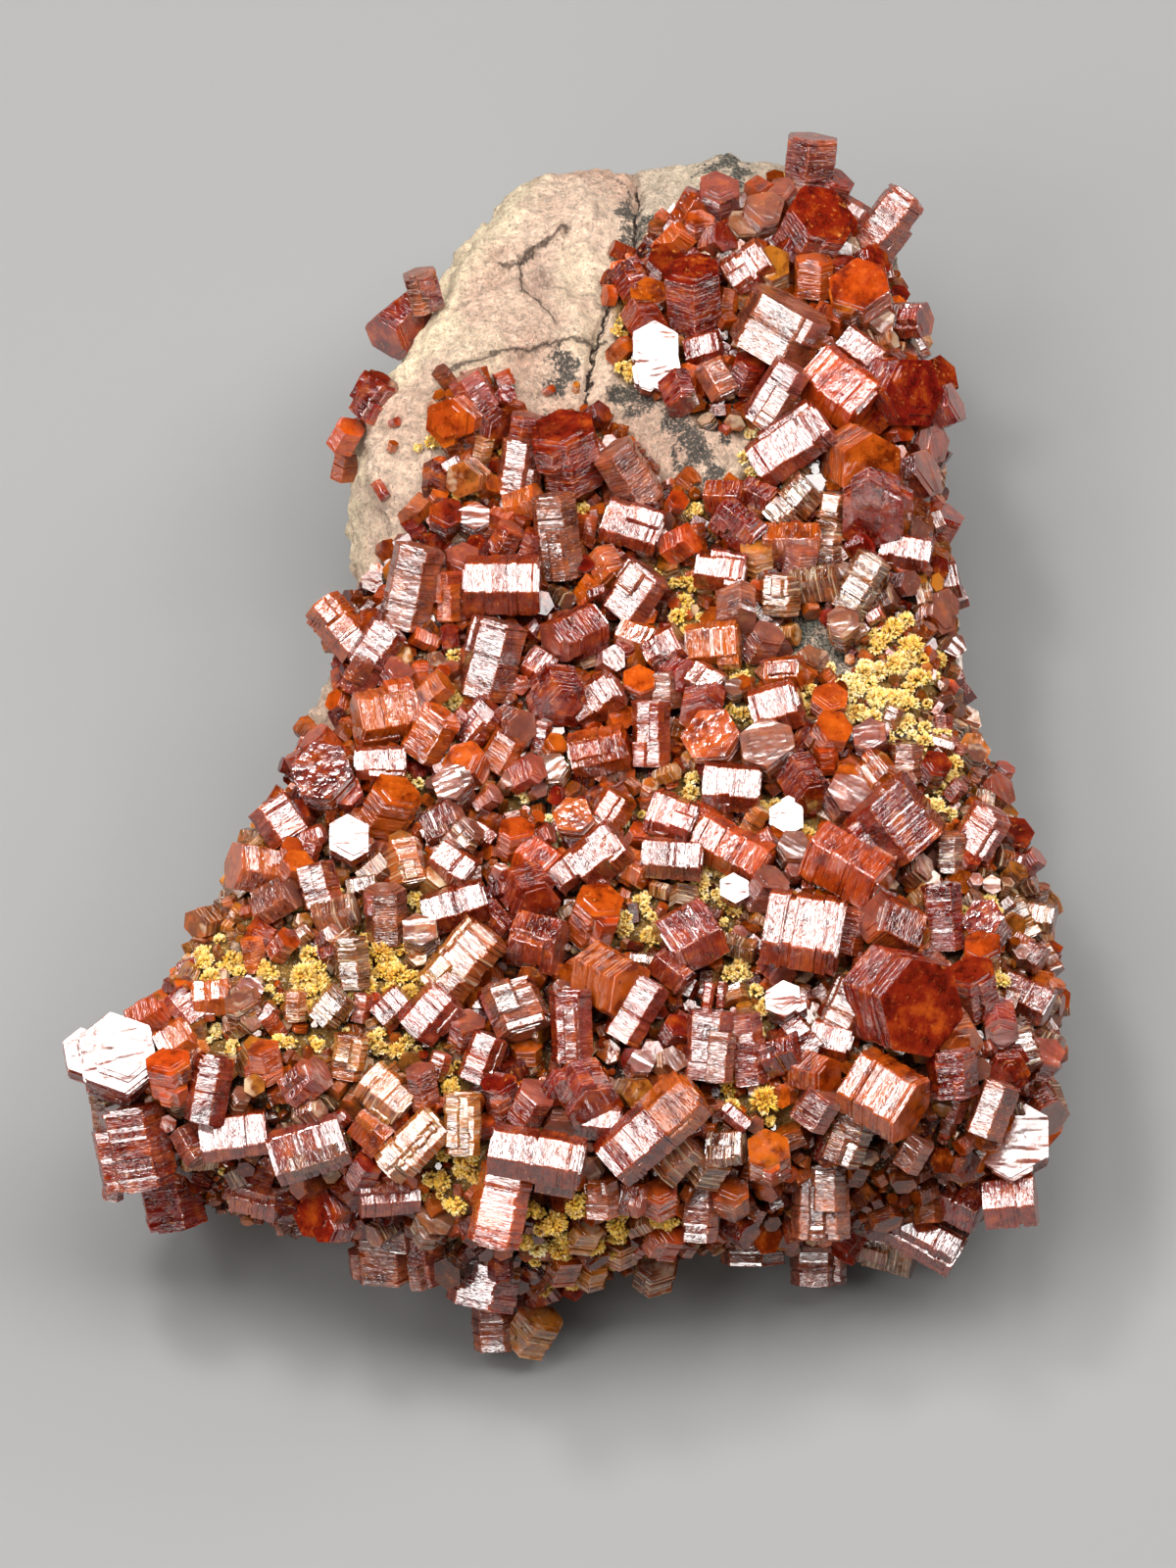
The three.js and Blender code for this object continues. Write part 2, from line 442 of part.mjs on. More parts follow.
// The carpet's outline, moved outwards by a distance at each corner.
function grownOutline(distance) {
  const corners = CRUST_OUTLINE.map(([across, up]) => new THREE.Vector2(across, up));
  return corners.map((corner, i) => {
    const before = corners.at(i - 1);
    const after = corners[(i + 1) % corners.length];
    const along = after.clone().sub(before).normalize();
    return new THREE.Vector2(corner.x - along.y * distance, corner.y + along.x * distance);
  });
}

// Everything over the carpet's outline, from the slant on which it ends upwards.
function carpetZone(growth) {
  const shape = new THREE.Shape(grownOutline(growth));
  const sweep = new THREE.ExtrudeGeometry(shape, { depth: 2 * CRUST_SLACK, bevelEnabled: false });
  sweep.applyMatrix4(displayFrame(DISPLAY_ORIGIN.clone().addScaledVector(OUT, -CRUST_SLACK)));
  const { back, front } = CRUST_END;
  const keep = new THREE.BoxGeometry(4 * CRUST_SLACK, 4 * CRUST_SLACK, CRUST_SLACK);
  keep.translate(0, 0, CRUST_SLACK / 2 - growth);
  keep.rotateX(Math.atan2(back[1] - front[1], back[0] - front[0]));
  keep.translate(0, (back[0] + front[0]) / 2, (back[1] + front[1]) / 2);
  return solidFrom(sweep).intersect(solidFrom(keep));
}

function crustSolid() {
  const skin = rockSolid(GAP + CRUST_THICKNESS).subtract(rockSolid(GAP));
  return largestBody(skin.intersect(carpetZone(0)));
}

// What the crystals grow from: the rock and its crust, with a gap round both.
function crystalBed() {
  const crust = rockSolid(GAP + CRUST_THICKNESS + GAP).intersect(carpetZone(GAP));
  return rockSolid(GAP).add(crust);
}

function largestBody(solid) {
  return solid.decompose().reduce((best, body) => (body.volume() > best.volume() ? body : best));
}

// ---- Crystals ----
const rockTarget = new THREE.Mesh(rockGeometry(0), new THREE.MeshBasicMaterial());
const caster = new THREE.Raycaster();

// How far out the rock's surface lies at a place on the display plane. Beside the rock, the place is
// moved towards the middle until it meets the surface.
function surfaceOut(across, up) {
  for (let inward = 0; inward < 1; inward += SEARCH_STEP) {
    const start = DISPLAY_ORIGIN.clone()
      .addScaledVector(ACROSS, across * (1 - inward))
      .addScaledVector(UP, up * (1 - inward))
      .addScaledVector(OUT, 2 * CRUST_SLACK);
    caster.set(start, OUT.clone().negate());
    const [hit] = caster.intersectObject(rockTarget);
    if (hit) return 2 * CRUST_SLACK - hit.distance;
  }
  return 0;
}

function crystalFrame([across, up, heading, lift, spin, radius, length, perch]) {
  const turn = THREE.MathUtils.degToRad(heading);
  const lean = THREE.MathUtils.degToRad(lift);
  const roll = THREE.MathUtils.degToRad(spin);
  const axis = new THREE.Vector3()
    .addScaledVector(ACROSS, Math.cos(turn) * Math.cos(lean))
    .addScaledVector(UP, Math.sin(turn) * Math.cos(lean))
    .addScaledVector(OUT, Math.sin(lean));
  const facing = OUT.clone().addScaledVector(axis, -OUT.dot(axis)).normalize();
  const side = new THREE.Vector3().crossVectors(axis, facing);
  const edge = facing.clone().multiplyScalar(Math.cos(roll)).addScaledVector(side, Math.sin(roll));
  const third = new THREE.Vector3().crossVectors(axis, edge);
  const upright = SEAT_END * length * Math.abs(Math.sin(lean));
  const stand = upright + SEAT_SIDE * radius * Math.cos(lean) + SEAT_BASE + perch;
  const middle = DISPLAY_ORIGIN.clone()
    .addScaledVector(ACROSS, across)
    .addScaledVector(UP, up)
    .addScaledVector(OUT, surfaceOut(across, up) + stand);
  return new THREE.Matrix4().makeBasis(third, axis, edge).setPosition(middle);
}

function crystalSolid(row, growth) {
  const [, , , , , radius, length] = row;
  const reach = radius + growth;
  const geometry = new THREE.CylinderGeometry(reach, reach, length + 2 * growth, 6, 1);
  geometry.applyMatrix4(crystalFrame(row));
  geometry.computeBoundingBox();
  const lowest = geometry.boundingBox.min.z - (FLOOR_CLEARANCE - growth);
  if (lowest < 0) geometry.translate(0, (-lowest * OUT.y) / OUT.z, -lowest);
  return solidFrom(geometry);
}

// Each zone's crystals, joined where they overlap, cut to their bed and kept clear of the zones before.
function crystalBodies(bed) {
  const bodies = [];
  let earlier = bed;
  for (const [zone, rows] of Object.entries(CRYSTALS)) {
    const zoneSolid = joined(rows.map((row) => crystalSolid(row, 0))).subtract(earlier);
    const kept = zoneSolid
      .decompose()
      .filter((body) => body.volume() >= SMALLEST_BODY)
      .sort((a, b) => b.volume() - a.volume());
    kept.forEach((solid, i) => {
      bodies.push({ name: `${zone}_crystals_${i + 1}`, solid, tone: rows[0].at(-1) });
    });
    earlier = earlier.add(joined(rows.map((row) => crystalSolid(row, GAP))));
  }
  return bodies;
}

// ---- The specimen ----
function piece(name, geometry, color, roughness) {
  const material = new THREE.MeshStandardMaterial({ color, roughness, metalness: 0 });
  const mesh = new THREE.Mesh(geometry, material);
  mesh.name = name;
  mesh.position.copy(CENTRE).negate();
  return mesh;
}

const specimen = new THREE.Group();
specimen.add(piece("matrix", rockGeometry(0), "#c3a892", 0.9));
specimen.add(piece("druse", geometryFrom(crustSolid()), "#b06a3a", 0.6));
for (const { name, solid, tone } of crystalBodies(crystalBed())) {
  specimen.add(piece(name, geometryFrom(solid), TONES[tone], 0.25));
}

export default specimen;
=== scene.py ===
"""The looks of the vanadinite specimen: rock, drusy carpet and crystals, with its floor, light and camera.

Lengths below are in millimetres, in the coordinates in which the rock's flat back is at z = 0, and are turned
into the row frame in metres when a mesh is made. Places on the display face are given as (across, up) on a
plane tilted as the specimen is looked at, and "out" is the direction away from that plane.
"""

import math
import random
from collections import namedtuple
from itertools import product

import bmesh
import bpy
import numpy as np
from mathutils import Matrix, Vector, noise
from mathutils.bvhtree import BVHTree


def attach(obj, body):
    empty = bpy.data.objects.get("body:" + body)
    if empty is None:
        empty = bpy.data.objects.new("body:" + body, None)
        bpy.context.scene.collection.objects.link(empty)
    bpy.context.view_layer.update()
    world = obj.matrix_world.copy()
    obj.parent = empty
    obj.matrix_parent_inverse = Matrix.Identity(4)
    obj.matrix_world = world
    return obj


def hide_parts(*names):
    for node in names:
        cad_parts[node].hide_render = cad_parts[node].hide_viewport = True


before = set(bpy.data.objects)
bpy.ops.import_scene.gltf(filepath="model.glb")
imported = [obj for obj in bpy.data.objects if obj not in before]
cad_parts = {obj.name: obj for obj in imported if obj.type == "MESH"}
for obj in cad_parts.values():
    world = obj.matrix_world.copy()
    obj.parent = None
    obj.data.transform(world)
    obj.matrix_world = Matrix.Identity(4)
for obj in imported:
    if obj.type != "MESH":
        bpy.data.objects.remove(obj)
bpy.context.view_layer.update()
scene = bpy.context.scene

# ---- Frame ----
MM = 0.001
CENTRE = np.array([-1.54, 6.28, 0.0])  # the row frame's origin
ELEVATION = math.radians(60)
ACROSS = np.array([1.0, 0.0, 0.0])
UP = np.array([0.0, math.sin(ELEVATION), math.cos(ELEVATION)])
OUT = np.array([0.0, -math.cos(ELEVATION), math.sin(ELEVATION)])
ORIGIN = np.array([0.0, 0.0, 20.0])  # of the display plane

rng = random.Random(7)

# The rim of the carpet of crystals and grains, as (across, up) places.
CRUST_OUTLINE = [
    (8, 57.5), (13, 59), (18.5, 60), (21, 68), (30, 67), (38, 52), (42, 38), (42, 12), (50, -4), (54, -20),
    (53, -44), (40, -60), (-5, -70), (-45, -60), (-58, -36), (-56, -22), (-42, -17), (-36, -3), (-32, 5),
    (-25, 4.5), (-24, 7), (-24.5, 12), (-29, 16), (-28, 20.5), (-22.5, 18.5), (-20.5, 23), (-16, 25.5),
    (-16.5, 28), (-14.5, 33), (-15.5, 37), (-15, 40), (-11.5, 41.5), (-8, 40.5), (-8, 38), (-4.5, 37),
    (0, 37.5), (4, 35), (5.5, 33.5), (8, 30), (10.5, 29.5), (15, 30.5), (17, 33), (16.5, 36), (12.2, 36),
    (10, 38.8), (5.5, 40), (3.5, 41.5), (2.5, 47), (2.8, 50), (3, 53), (5, 55), (8, 58.5),
]

# The large crystals, a line each, under the name of the place where they grow: across, up, heading, lift, spin,
# radius, length, perch and tone. Heading is the way the crystal's axis points on the display plane, lift its lean
# out of that plane and spin its turn about the axis, all in degrees. Perch is how far it stands above its usual seat.
CRYSTALS = """
crown
22.8 63.2 84 14 0 3.1 7 0.4 mauve
24.6 60.9 60 30 0 2.3 4.2 0.5 red
23.2 57.2 60 50 0 3.6 6 0 red
18 58.4 75 60 0 2.3 4 0.2 mauve
13.5 60.2 90 50 0 2.3 4 0 mauve
crown_right
30.2 56.8 53 8 16 2.3 9.4 1.2 pale
28.4 53.4 30 40 0 2 3.6 0 red
28 50 100 60 0 3.2 5 0.3 orange
23.3 52.1 88 25 12 2.1 3.9 0.4 orange
30.4 47.4 -60 40 0 1.9 3.4 0.2 mauve
33 47.6 0 30 10 2 3.8 0 red
27.8 44.2 -36 10 14 2 4.6 1.2 pale
25.6 40.3 -38 15 14 3.4 7 0.6 orange
31.5 40.3 0 50 0 3.8 6 0.2 red
35.2 41.4 30 40 0 2.2 3.6 0 red
36 38.4 20 20 0 2.4 3.8 0 mauve
upper_centre
19.6 46.6 62 12 15 4.5 6 0.8 mauve
16.5 53 35 10 15 2.4 4.4 0.8 pale
18.8 52.6 90 60 0 2.2 3.4 0 amber
7 44.6 90 75 0 2.6 2.6 0.8 pale
7.3 42.4 90 75 10 2.4 2.6 0.4 pale
9.2 40 -70 40 0 2 3.4 0.3 red
upper_left
11 50 95 35 0 3.2 6.5 0.3 red
7.7 52.8 70 50 0 2.2 3.6 0.2 red
4.3 51.5 -60 30 0 2 3.6 0 red
6.2 49.6 100 70 0 2 3 0.2 orange
5.7 47.6 -60 60 0 2.2 3.4 0.2 red
upper_right
19.2 39.8 58 12 14 2.3 6.8 2.4 mauve
20.7 34.6 35 8 14 2.75 8.3 1.8 pale
27.8 33.2 -30 60 0 3.6 5.4 0.2 orange
29 28.4 -90 60 0 3.6 5.4 0.2 red
33 31.2 20 30 0 2.8 4.4 0.2 mauve
34.2 34.8 0 40 10 2.2 3.8 0 pale
17.5 29.2 -25 25 0 1.9 3.4 0 red
20.9 28.6 45 5 8 2.2 5.5 0.3 brown
right_edge_upper
35.4 26 60 20 0 2.7 4.8 0.2 red
32.4 23.8 -10 5 12 2 5 0.6 pale
34.6 20.2 12 5 14 2 7 1.2 pale
34.6 16.8 20 45 0 2.5 4.4 0.2 mauve
27.6 20.4 60 5 14 2.1 6.2 1.6 brown
23.2 20.2 10 10 0 2 4.8 0.2 brown
19.6 19.2 88 10 12 2.1 3.8 0.2 brown
20.8 24.8 0 10 0 2 5.6 0.2 orange
26 15.8 100 70 0 1.9 3 0.4 brown
centre_upper
13.5 21.6 -8 6 14 2.1 5 1.6 pale
14.9 17.8 -90 45 0 2.4 4 0.4 mauve
15.4 26 -40 15 0 2.4 5 0.2 red
4.6 26.2 -18 8 14 2.4 5.8 1.2 pale
4.2 31.4 -57 -20 12 2.6 6.6 1.6 mauve
-2 33.6 100 35 0 3.6 6.6 0.4 red
-7.3 32.3 82 10 14 2 5.6 0.8 mauve
ridge
-13.5 37.4 20 -60 0 2.5 3.8 0.2 orange
-11.6 39.9 -60 -10 12 1.9 4.2 0.8 pale
-10.2 37.2 -30 40 0 1.9 3.4 0.3 red
-12.3 31.2 20 -65 0 2 3 0.2 amber
-14.4 27 90 70 0 1.9 2.8 0 red
ridge_foot
-3 25.2 97 10 14 2.3 8.5 1.6 mauve
-6.4 28.4 20 20 0 1.9 3.4 0.2 orange
-8.7 20.2 0 3 14 3.3 7.4 2 pale
-13.9 19.2 90 10 0 1.9 5 0.4 orange
-17.9 20 78 10 14 2.8 8.4 1 mauve
flank
-17 50.6 105 20 0 1.9 4 0 mauve
-19.1 47.2 40 -35 0 3 5 0 red
-22 39.7 60 20 0 2.1 4.2 0 red
left_edge
-25.2 16 -50 10 24 2.3 6.2 0.6 orange
-21.3 13.8 57 8 14 2.2 4.8 1.4 pale
-22.8 11 57 15 0 2.1 3.8 0.2 mauve
-20.5 7.2 10 -18 26 2.7 6 0.4 orange
-15.8 5 60 20 10 2.4 5 0.2 orange
-21 2.2 3 3 12 1.9 5 1.2 pale
-26.6 0.2 110 68 0 3.3 4.6 0.4 red
-20.3 -2.4 60 40 0 2.7 5 0.2 orange
-31.1 -3.8 -55 8 12 2.4 4.4 0.8 pale
-33.5 -8.6 170 22 0 2.7 5 0.2 orange
-31.5 -12 30 25 0 2 4.2 0 mauve
left_centre
-9.8 12.6 75 8 14 2.9 7.8 1.4 mauve
-11.2 6.2 50 15 12 2 4.4 0.2 red
-12 2 130 60 0 2.2 3.6 0.2 orange
-7.5 5.8 -20 60 0 2 3.2 0.4 mauve
-13.5 -0.6 110 60 0 2.2 3.6 0.4 mauve
-14.8 -3.9 30 20 12 1.9 4 0.3 mauve
-12.6 -5.6 50 20 12 1.9 3.4 0.3 brown
-13.7 -8.3 -35 12 14 2 4 0.8 pale
-7.4 -5.7 80 45 0 1.9 3.4 0.2 orange
-18.4 -8.1 -75 15 12 2.2 4.6 0.4 amber
-24.1 -5.9 90 74 0 2.4 3.6 0.6 pale
-27.2 -10.3 105 -8 12 2.2 4.2 0.8 pale
centre
-1.3 15.3 27 -30 12 2.5 5.4 0.8 pale
-2.8 9 -70 60 0 2.9 4.4 0.3 red
0.9 8.5 35 15 14 2.3 4.8 0.6 pale
4.9 19.4 55 10 12 2.7 5.4 0.8 mauve
2 22 -60 30 0 1.9 3.4 0.2 orange
7.8 13.8 30 15 14 2 3.8 0.8 pale
9.2 11.3 -20 50 0 1.9 3.2 0 red
12.7 14.3 5 10 26 2.2 5.2 0.4 orange
11.6 7.7 -100 60 0 2.3 3.8 0.2 red
6.3 5.1 90 4 16 2 6.6 1.6 pale
1.2 3.4 12 10 26 2.5 5.6 0.6 orange
12.8 4.1 120 72 0 3 4.2 0.4 orange
middle
14.5 -0.4 -4 3 14 2.5 5.6 1.2 pale
8.6 -3.2 -20 8 14 2.4 4.6 0.8 pale
8.6 -7.5 -4 6 12 2.2 6 0.6 mauve
1.3 -7.1 38 10 14 2.6 5.2 1.2 pale
4.5 -8.4 -30 25 0 1.9 3.6 0.2 orange
2.3 -2.8 58 10 14 2 4.2 0.4 orange
-1.3 -3.9 110 65 0 2.2 3.6 0.2 orange
-5 -7.8 -35 25 10 2.1 4 0.2 orange
-6.2 -11.3 -50 50 0 2.8 4.6 0.2 red
14.6 -6.6 -28 12 25 2.5 7.6 0.2 orange
right_centre
20 11.2 5 20 12 1.9 3.6 0.4 orange
19.1 7.6 17 8 14 2.5 4.6 0.8 pale
18.3 3.3 100 70 0 2.9 4.2 0.4 mauve
24.4 8.1 80 65 0 1.9 3.2 0.2 orange
24.5 4.8 60 50 0 2.1 3.6 0.2 orange
21.8 0 -60 40 0 2.6 4.6 0.2 red
26 -1.6 60 60 0 2.3 3.8 0.3 mauve
28.5 4.4 95 68 0 1.9 3 0.6 mauve
28.8 1 45 20 10 1.9 3.8 0.2 orange
30.9 -4 -51 -8 14 4.2 7 1.2 red
20 -3.7 90 72 0 1.9 3 0.6 pale
26.2 -8.6 -30 18 0 3.5 8 0.2 orange
right_edge
39.7 -4.6 58 12 14 2.3 4.4 1 pale
42.8 -5.8 60 50 0 2 3.4 0 red
35.8 -13.4 95 8 14 2.1 6.6 0.8 red
40.2 -14.2 120 60 0 2.2 3.8 0.2 red
39.7 -17 90 60 0 2 3.4 0.2 orange
38.6 -20.8 100 40 0 2.7 5 0.3 red
44.2 -21.6 -25 12 8 2.3 5 0.6 pale
41.4 -24 -80 50 0 2 3.6 0.4 pale
37 -25.2 -60 50 0 2.4 4 0.3 orange
36.7 -29 95 12 24 2.5 4.6 0.4 red
42 -28.4 -60 60 0 2.1 3.6 0.2 red
lower_centre
-13.3 -12.3 18 5 12 2.4 6.4 0.8 red
-9.3 -14.1 -45 20 0 1.9 3.8 0.2 red
-12.5 -18 49 8 16 2.7 8 2.2 amber
-15.8 -23 49 8 16 2.4 5 1.6 pale
-4.9 -15.9 -15 15 0 3.3 4.8 0.4 pale
0.7 -13.6 70 45 0 2.7 5.2 0.4 orange
10.3 -15.5 30 -8 4 3.4 5.2 0.6 pale
2.2 -20.1 -30 45 0 3.4 5.6 0.2 orange
4.9 -22.8 60 4 14 2 6.6 1.4 pale
-1.6 -24.3 92 4 16 2.3 7.2 1.8 pale
-7.4 -22.7 -68 20 14 3 5 1.2 mauve
-12.3 -24.9 80 45 0 1.9 3.4 0.4 pale
-10.7 -27.5 70 8 14 2 4.8 0.8 pale
-0.2 -31 -60 45 0 3.1 5 0.2 red
-5.9 -32.2 60 35 10 2 4 0.4 pale
-8.6 -31.4 100 40 0 1.9 4 0.2 red
-5.1 -37.3 -10 5 14 3 9.2 1.8 pale
lower_right
17.8 -10.8 60 40 0 2 3.8 0.2 mauve
21.6 -14.9 -9 4 8 4.4 7.4 1.6 pale
30.7 -14.1 -25 -32 12 2.8 5 0.6 pale
31.6 -22 -20 60 8 5.1 8 0.6 red
34.9 -18.8 -40 20 0 2.1 4 0 mauve
26.2 -22.3 65 10 12 2.3 5 0.6 mauve
21.4 -25.8 -50 15 10 1.9 3.8 0.2 red
19.8 -22.2 95 68 0 1.9 3.2 0.6 pale
12 -26.2 85 5 14 2.4 7 1.2 mauve
15.9 -26.6 98 6 16 2 7.2 1.2 pale
19.2 -27.4 20 20 0 2.2 4.8 0.3 red
22.7 -29.2 -20 40 0 2.3 3.8 0.4 orange
23 -32.5 60 20 12 2 3.8 0.4 mauve
29.6 -31.4 -30 22 26 3.8 7 0.4 orange
26.1 -35.6 70 12 12 2.2 4.8 0 brown
left_foot
-37.8 -21.5 5 5 4 2.1 3.6 0.6 orange
-41.4 -25.8 33 12 10 2.1 3.6 0.6 orange
-44 -23.3 30 30 0 2 4 0 orange
-34.6 -22.6 100 40 0 1.9 3.4 0 brown
-47.3 -27.6 90 74 10 4.3 5.4 0.2 pale
-41.9 -29.3 100 45 0 2.3 4 0.4 orange
-38 -30.6 80 5 16 2.3 6.8 1.2 red
-32.4 -28 100 30 0 1.9 3.6 0.2 orange
-28.3 -30 40 35 0 2 4 0.4 pale
-48.4 -32.8 100 20 0 2 4 -0.5 brown
-45.3 -36.4 102 10 12 3.6 8.2 0.6 red
-42.1 -41 102 10 4 3.4 7.4 0.2 red
-39.6 -36.2 -60 15 12 1.9 3.6 0.6 pale
-35.5 -35.3 8 5 12 2.6 6.8 1 pale
-28 -36.7 18 5 24 2.7 7.6 1.2 mauve
-33.3 -41.7 -15 8 10 2.4 4.8 0.8 pale
-26 -43 0 -50 0 3.1 4.8 0.4 red
left_lower
-20.4 -13.2 92 18 25 2.2 5.6 0.6 mauve
-24 -27.4 80 10 20 1.9 4.4 0.4 amber
-20.2 -31 -40 10 12 2.2 5 0.2 amber
-21.7 -35 -40 12 0 1.9 3.8 0.2 orange
-17.6 -36.2 45 6 14 2.2 7.2 1.4 amber
-22.4 -38.8 60 45 0 1.9 3.4 0 red
-12.5 -34 90 4 14 2 6.2 1.2 amber
-20 -41.5 4 -8 14 1.9 6 1 pale
-15.6 -44.2 60 60 0 2.1 3.6 0 brown
-20.5 -46.6 94 25 12 3.5 6.6 0.4 mauve
-16.1 -47.6 100 20 0 2.5 5.2 0.2 mauve
foot
-8.7 -42.2 78 5 14 2.9 8 1 orange
-10.1 -49 78 5 14 3.9 7.6 0.4 red
-9.5 -54.6 95 12 20 2.3 5.4 0.4 mauve
-4.9 -51 20 20 10 1.9 3.6 0.4 pale
-5.2 -55.6 60 40 0 2.2 4.4 0 amber
-2.5 -48.2 70 50 0 2.1 3.8 0 orange
1.2 -41.5 95 20 10 1.9 3.8 0.2 orange
4 -41.6 -10 25 14 1.9 3.4 0.6 pale
8.2 -45.4 60 55 0 2.2 3.8 0 orange
6.8 -49.2 80 60 0 2.2 3.6 0 brown
8.3 -32.6 42 6 24 3.1 5.8 1.6 orange
4.6 -36 42 6 20 2.9 6.6 1.6 red
9 -37.6 42 10 12 1.9 4.6 0.2 brown
foot_right
13.9 -36.3 0 15 14 1.9 3.6 0 brown
12.3 -38.4 60 45 0 2 3.6 -0.4 brown
18.2 -37.6 95 62 0 2.4 4 0.4 orange
14.5 -41.5 95 60 0 2.1 3.6 0.2 orange
11.3 -43 88 8 14 1.9 6 0.4 mauve
16.6 -45.8 90 4 16 3.4 5.6 0.4 mauve
23.3 -42 90 4 20 3.1 7.4 0.8 mauve
23.6 -47.8 90 4 20 3 6 0.6 mauve
32.4 -44.8 -29 4 14 2.7 11.6 2 red
36.4 -41.4 -25 10 4 2.9 7.6 0 red
30.4 -47 -15 10 0 2.5 6 -1 brown
40.6 -32.7 70 6 14 2 5.6 1.6 mauve
45.1 -32.6 -50 35 0 2.7 4.8 0 pale
43 -36.2 90 75 0 3.9 4 0.8 pale
42.6 -42.2 5 6 8 3 5.2 0.6 pale
"""

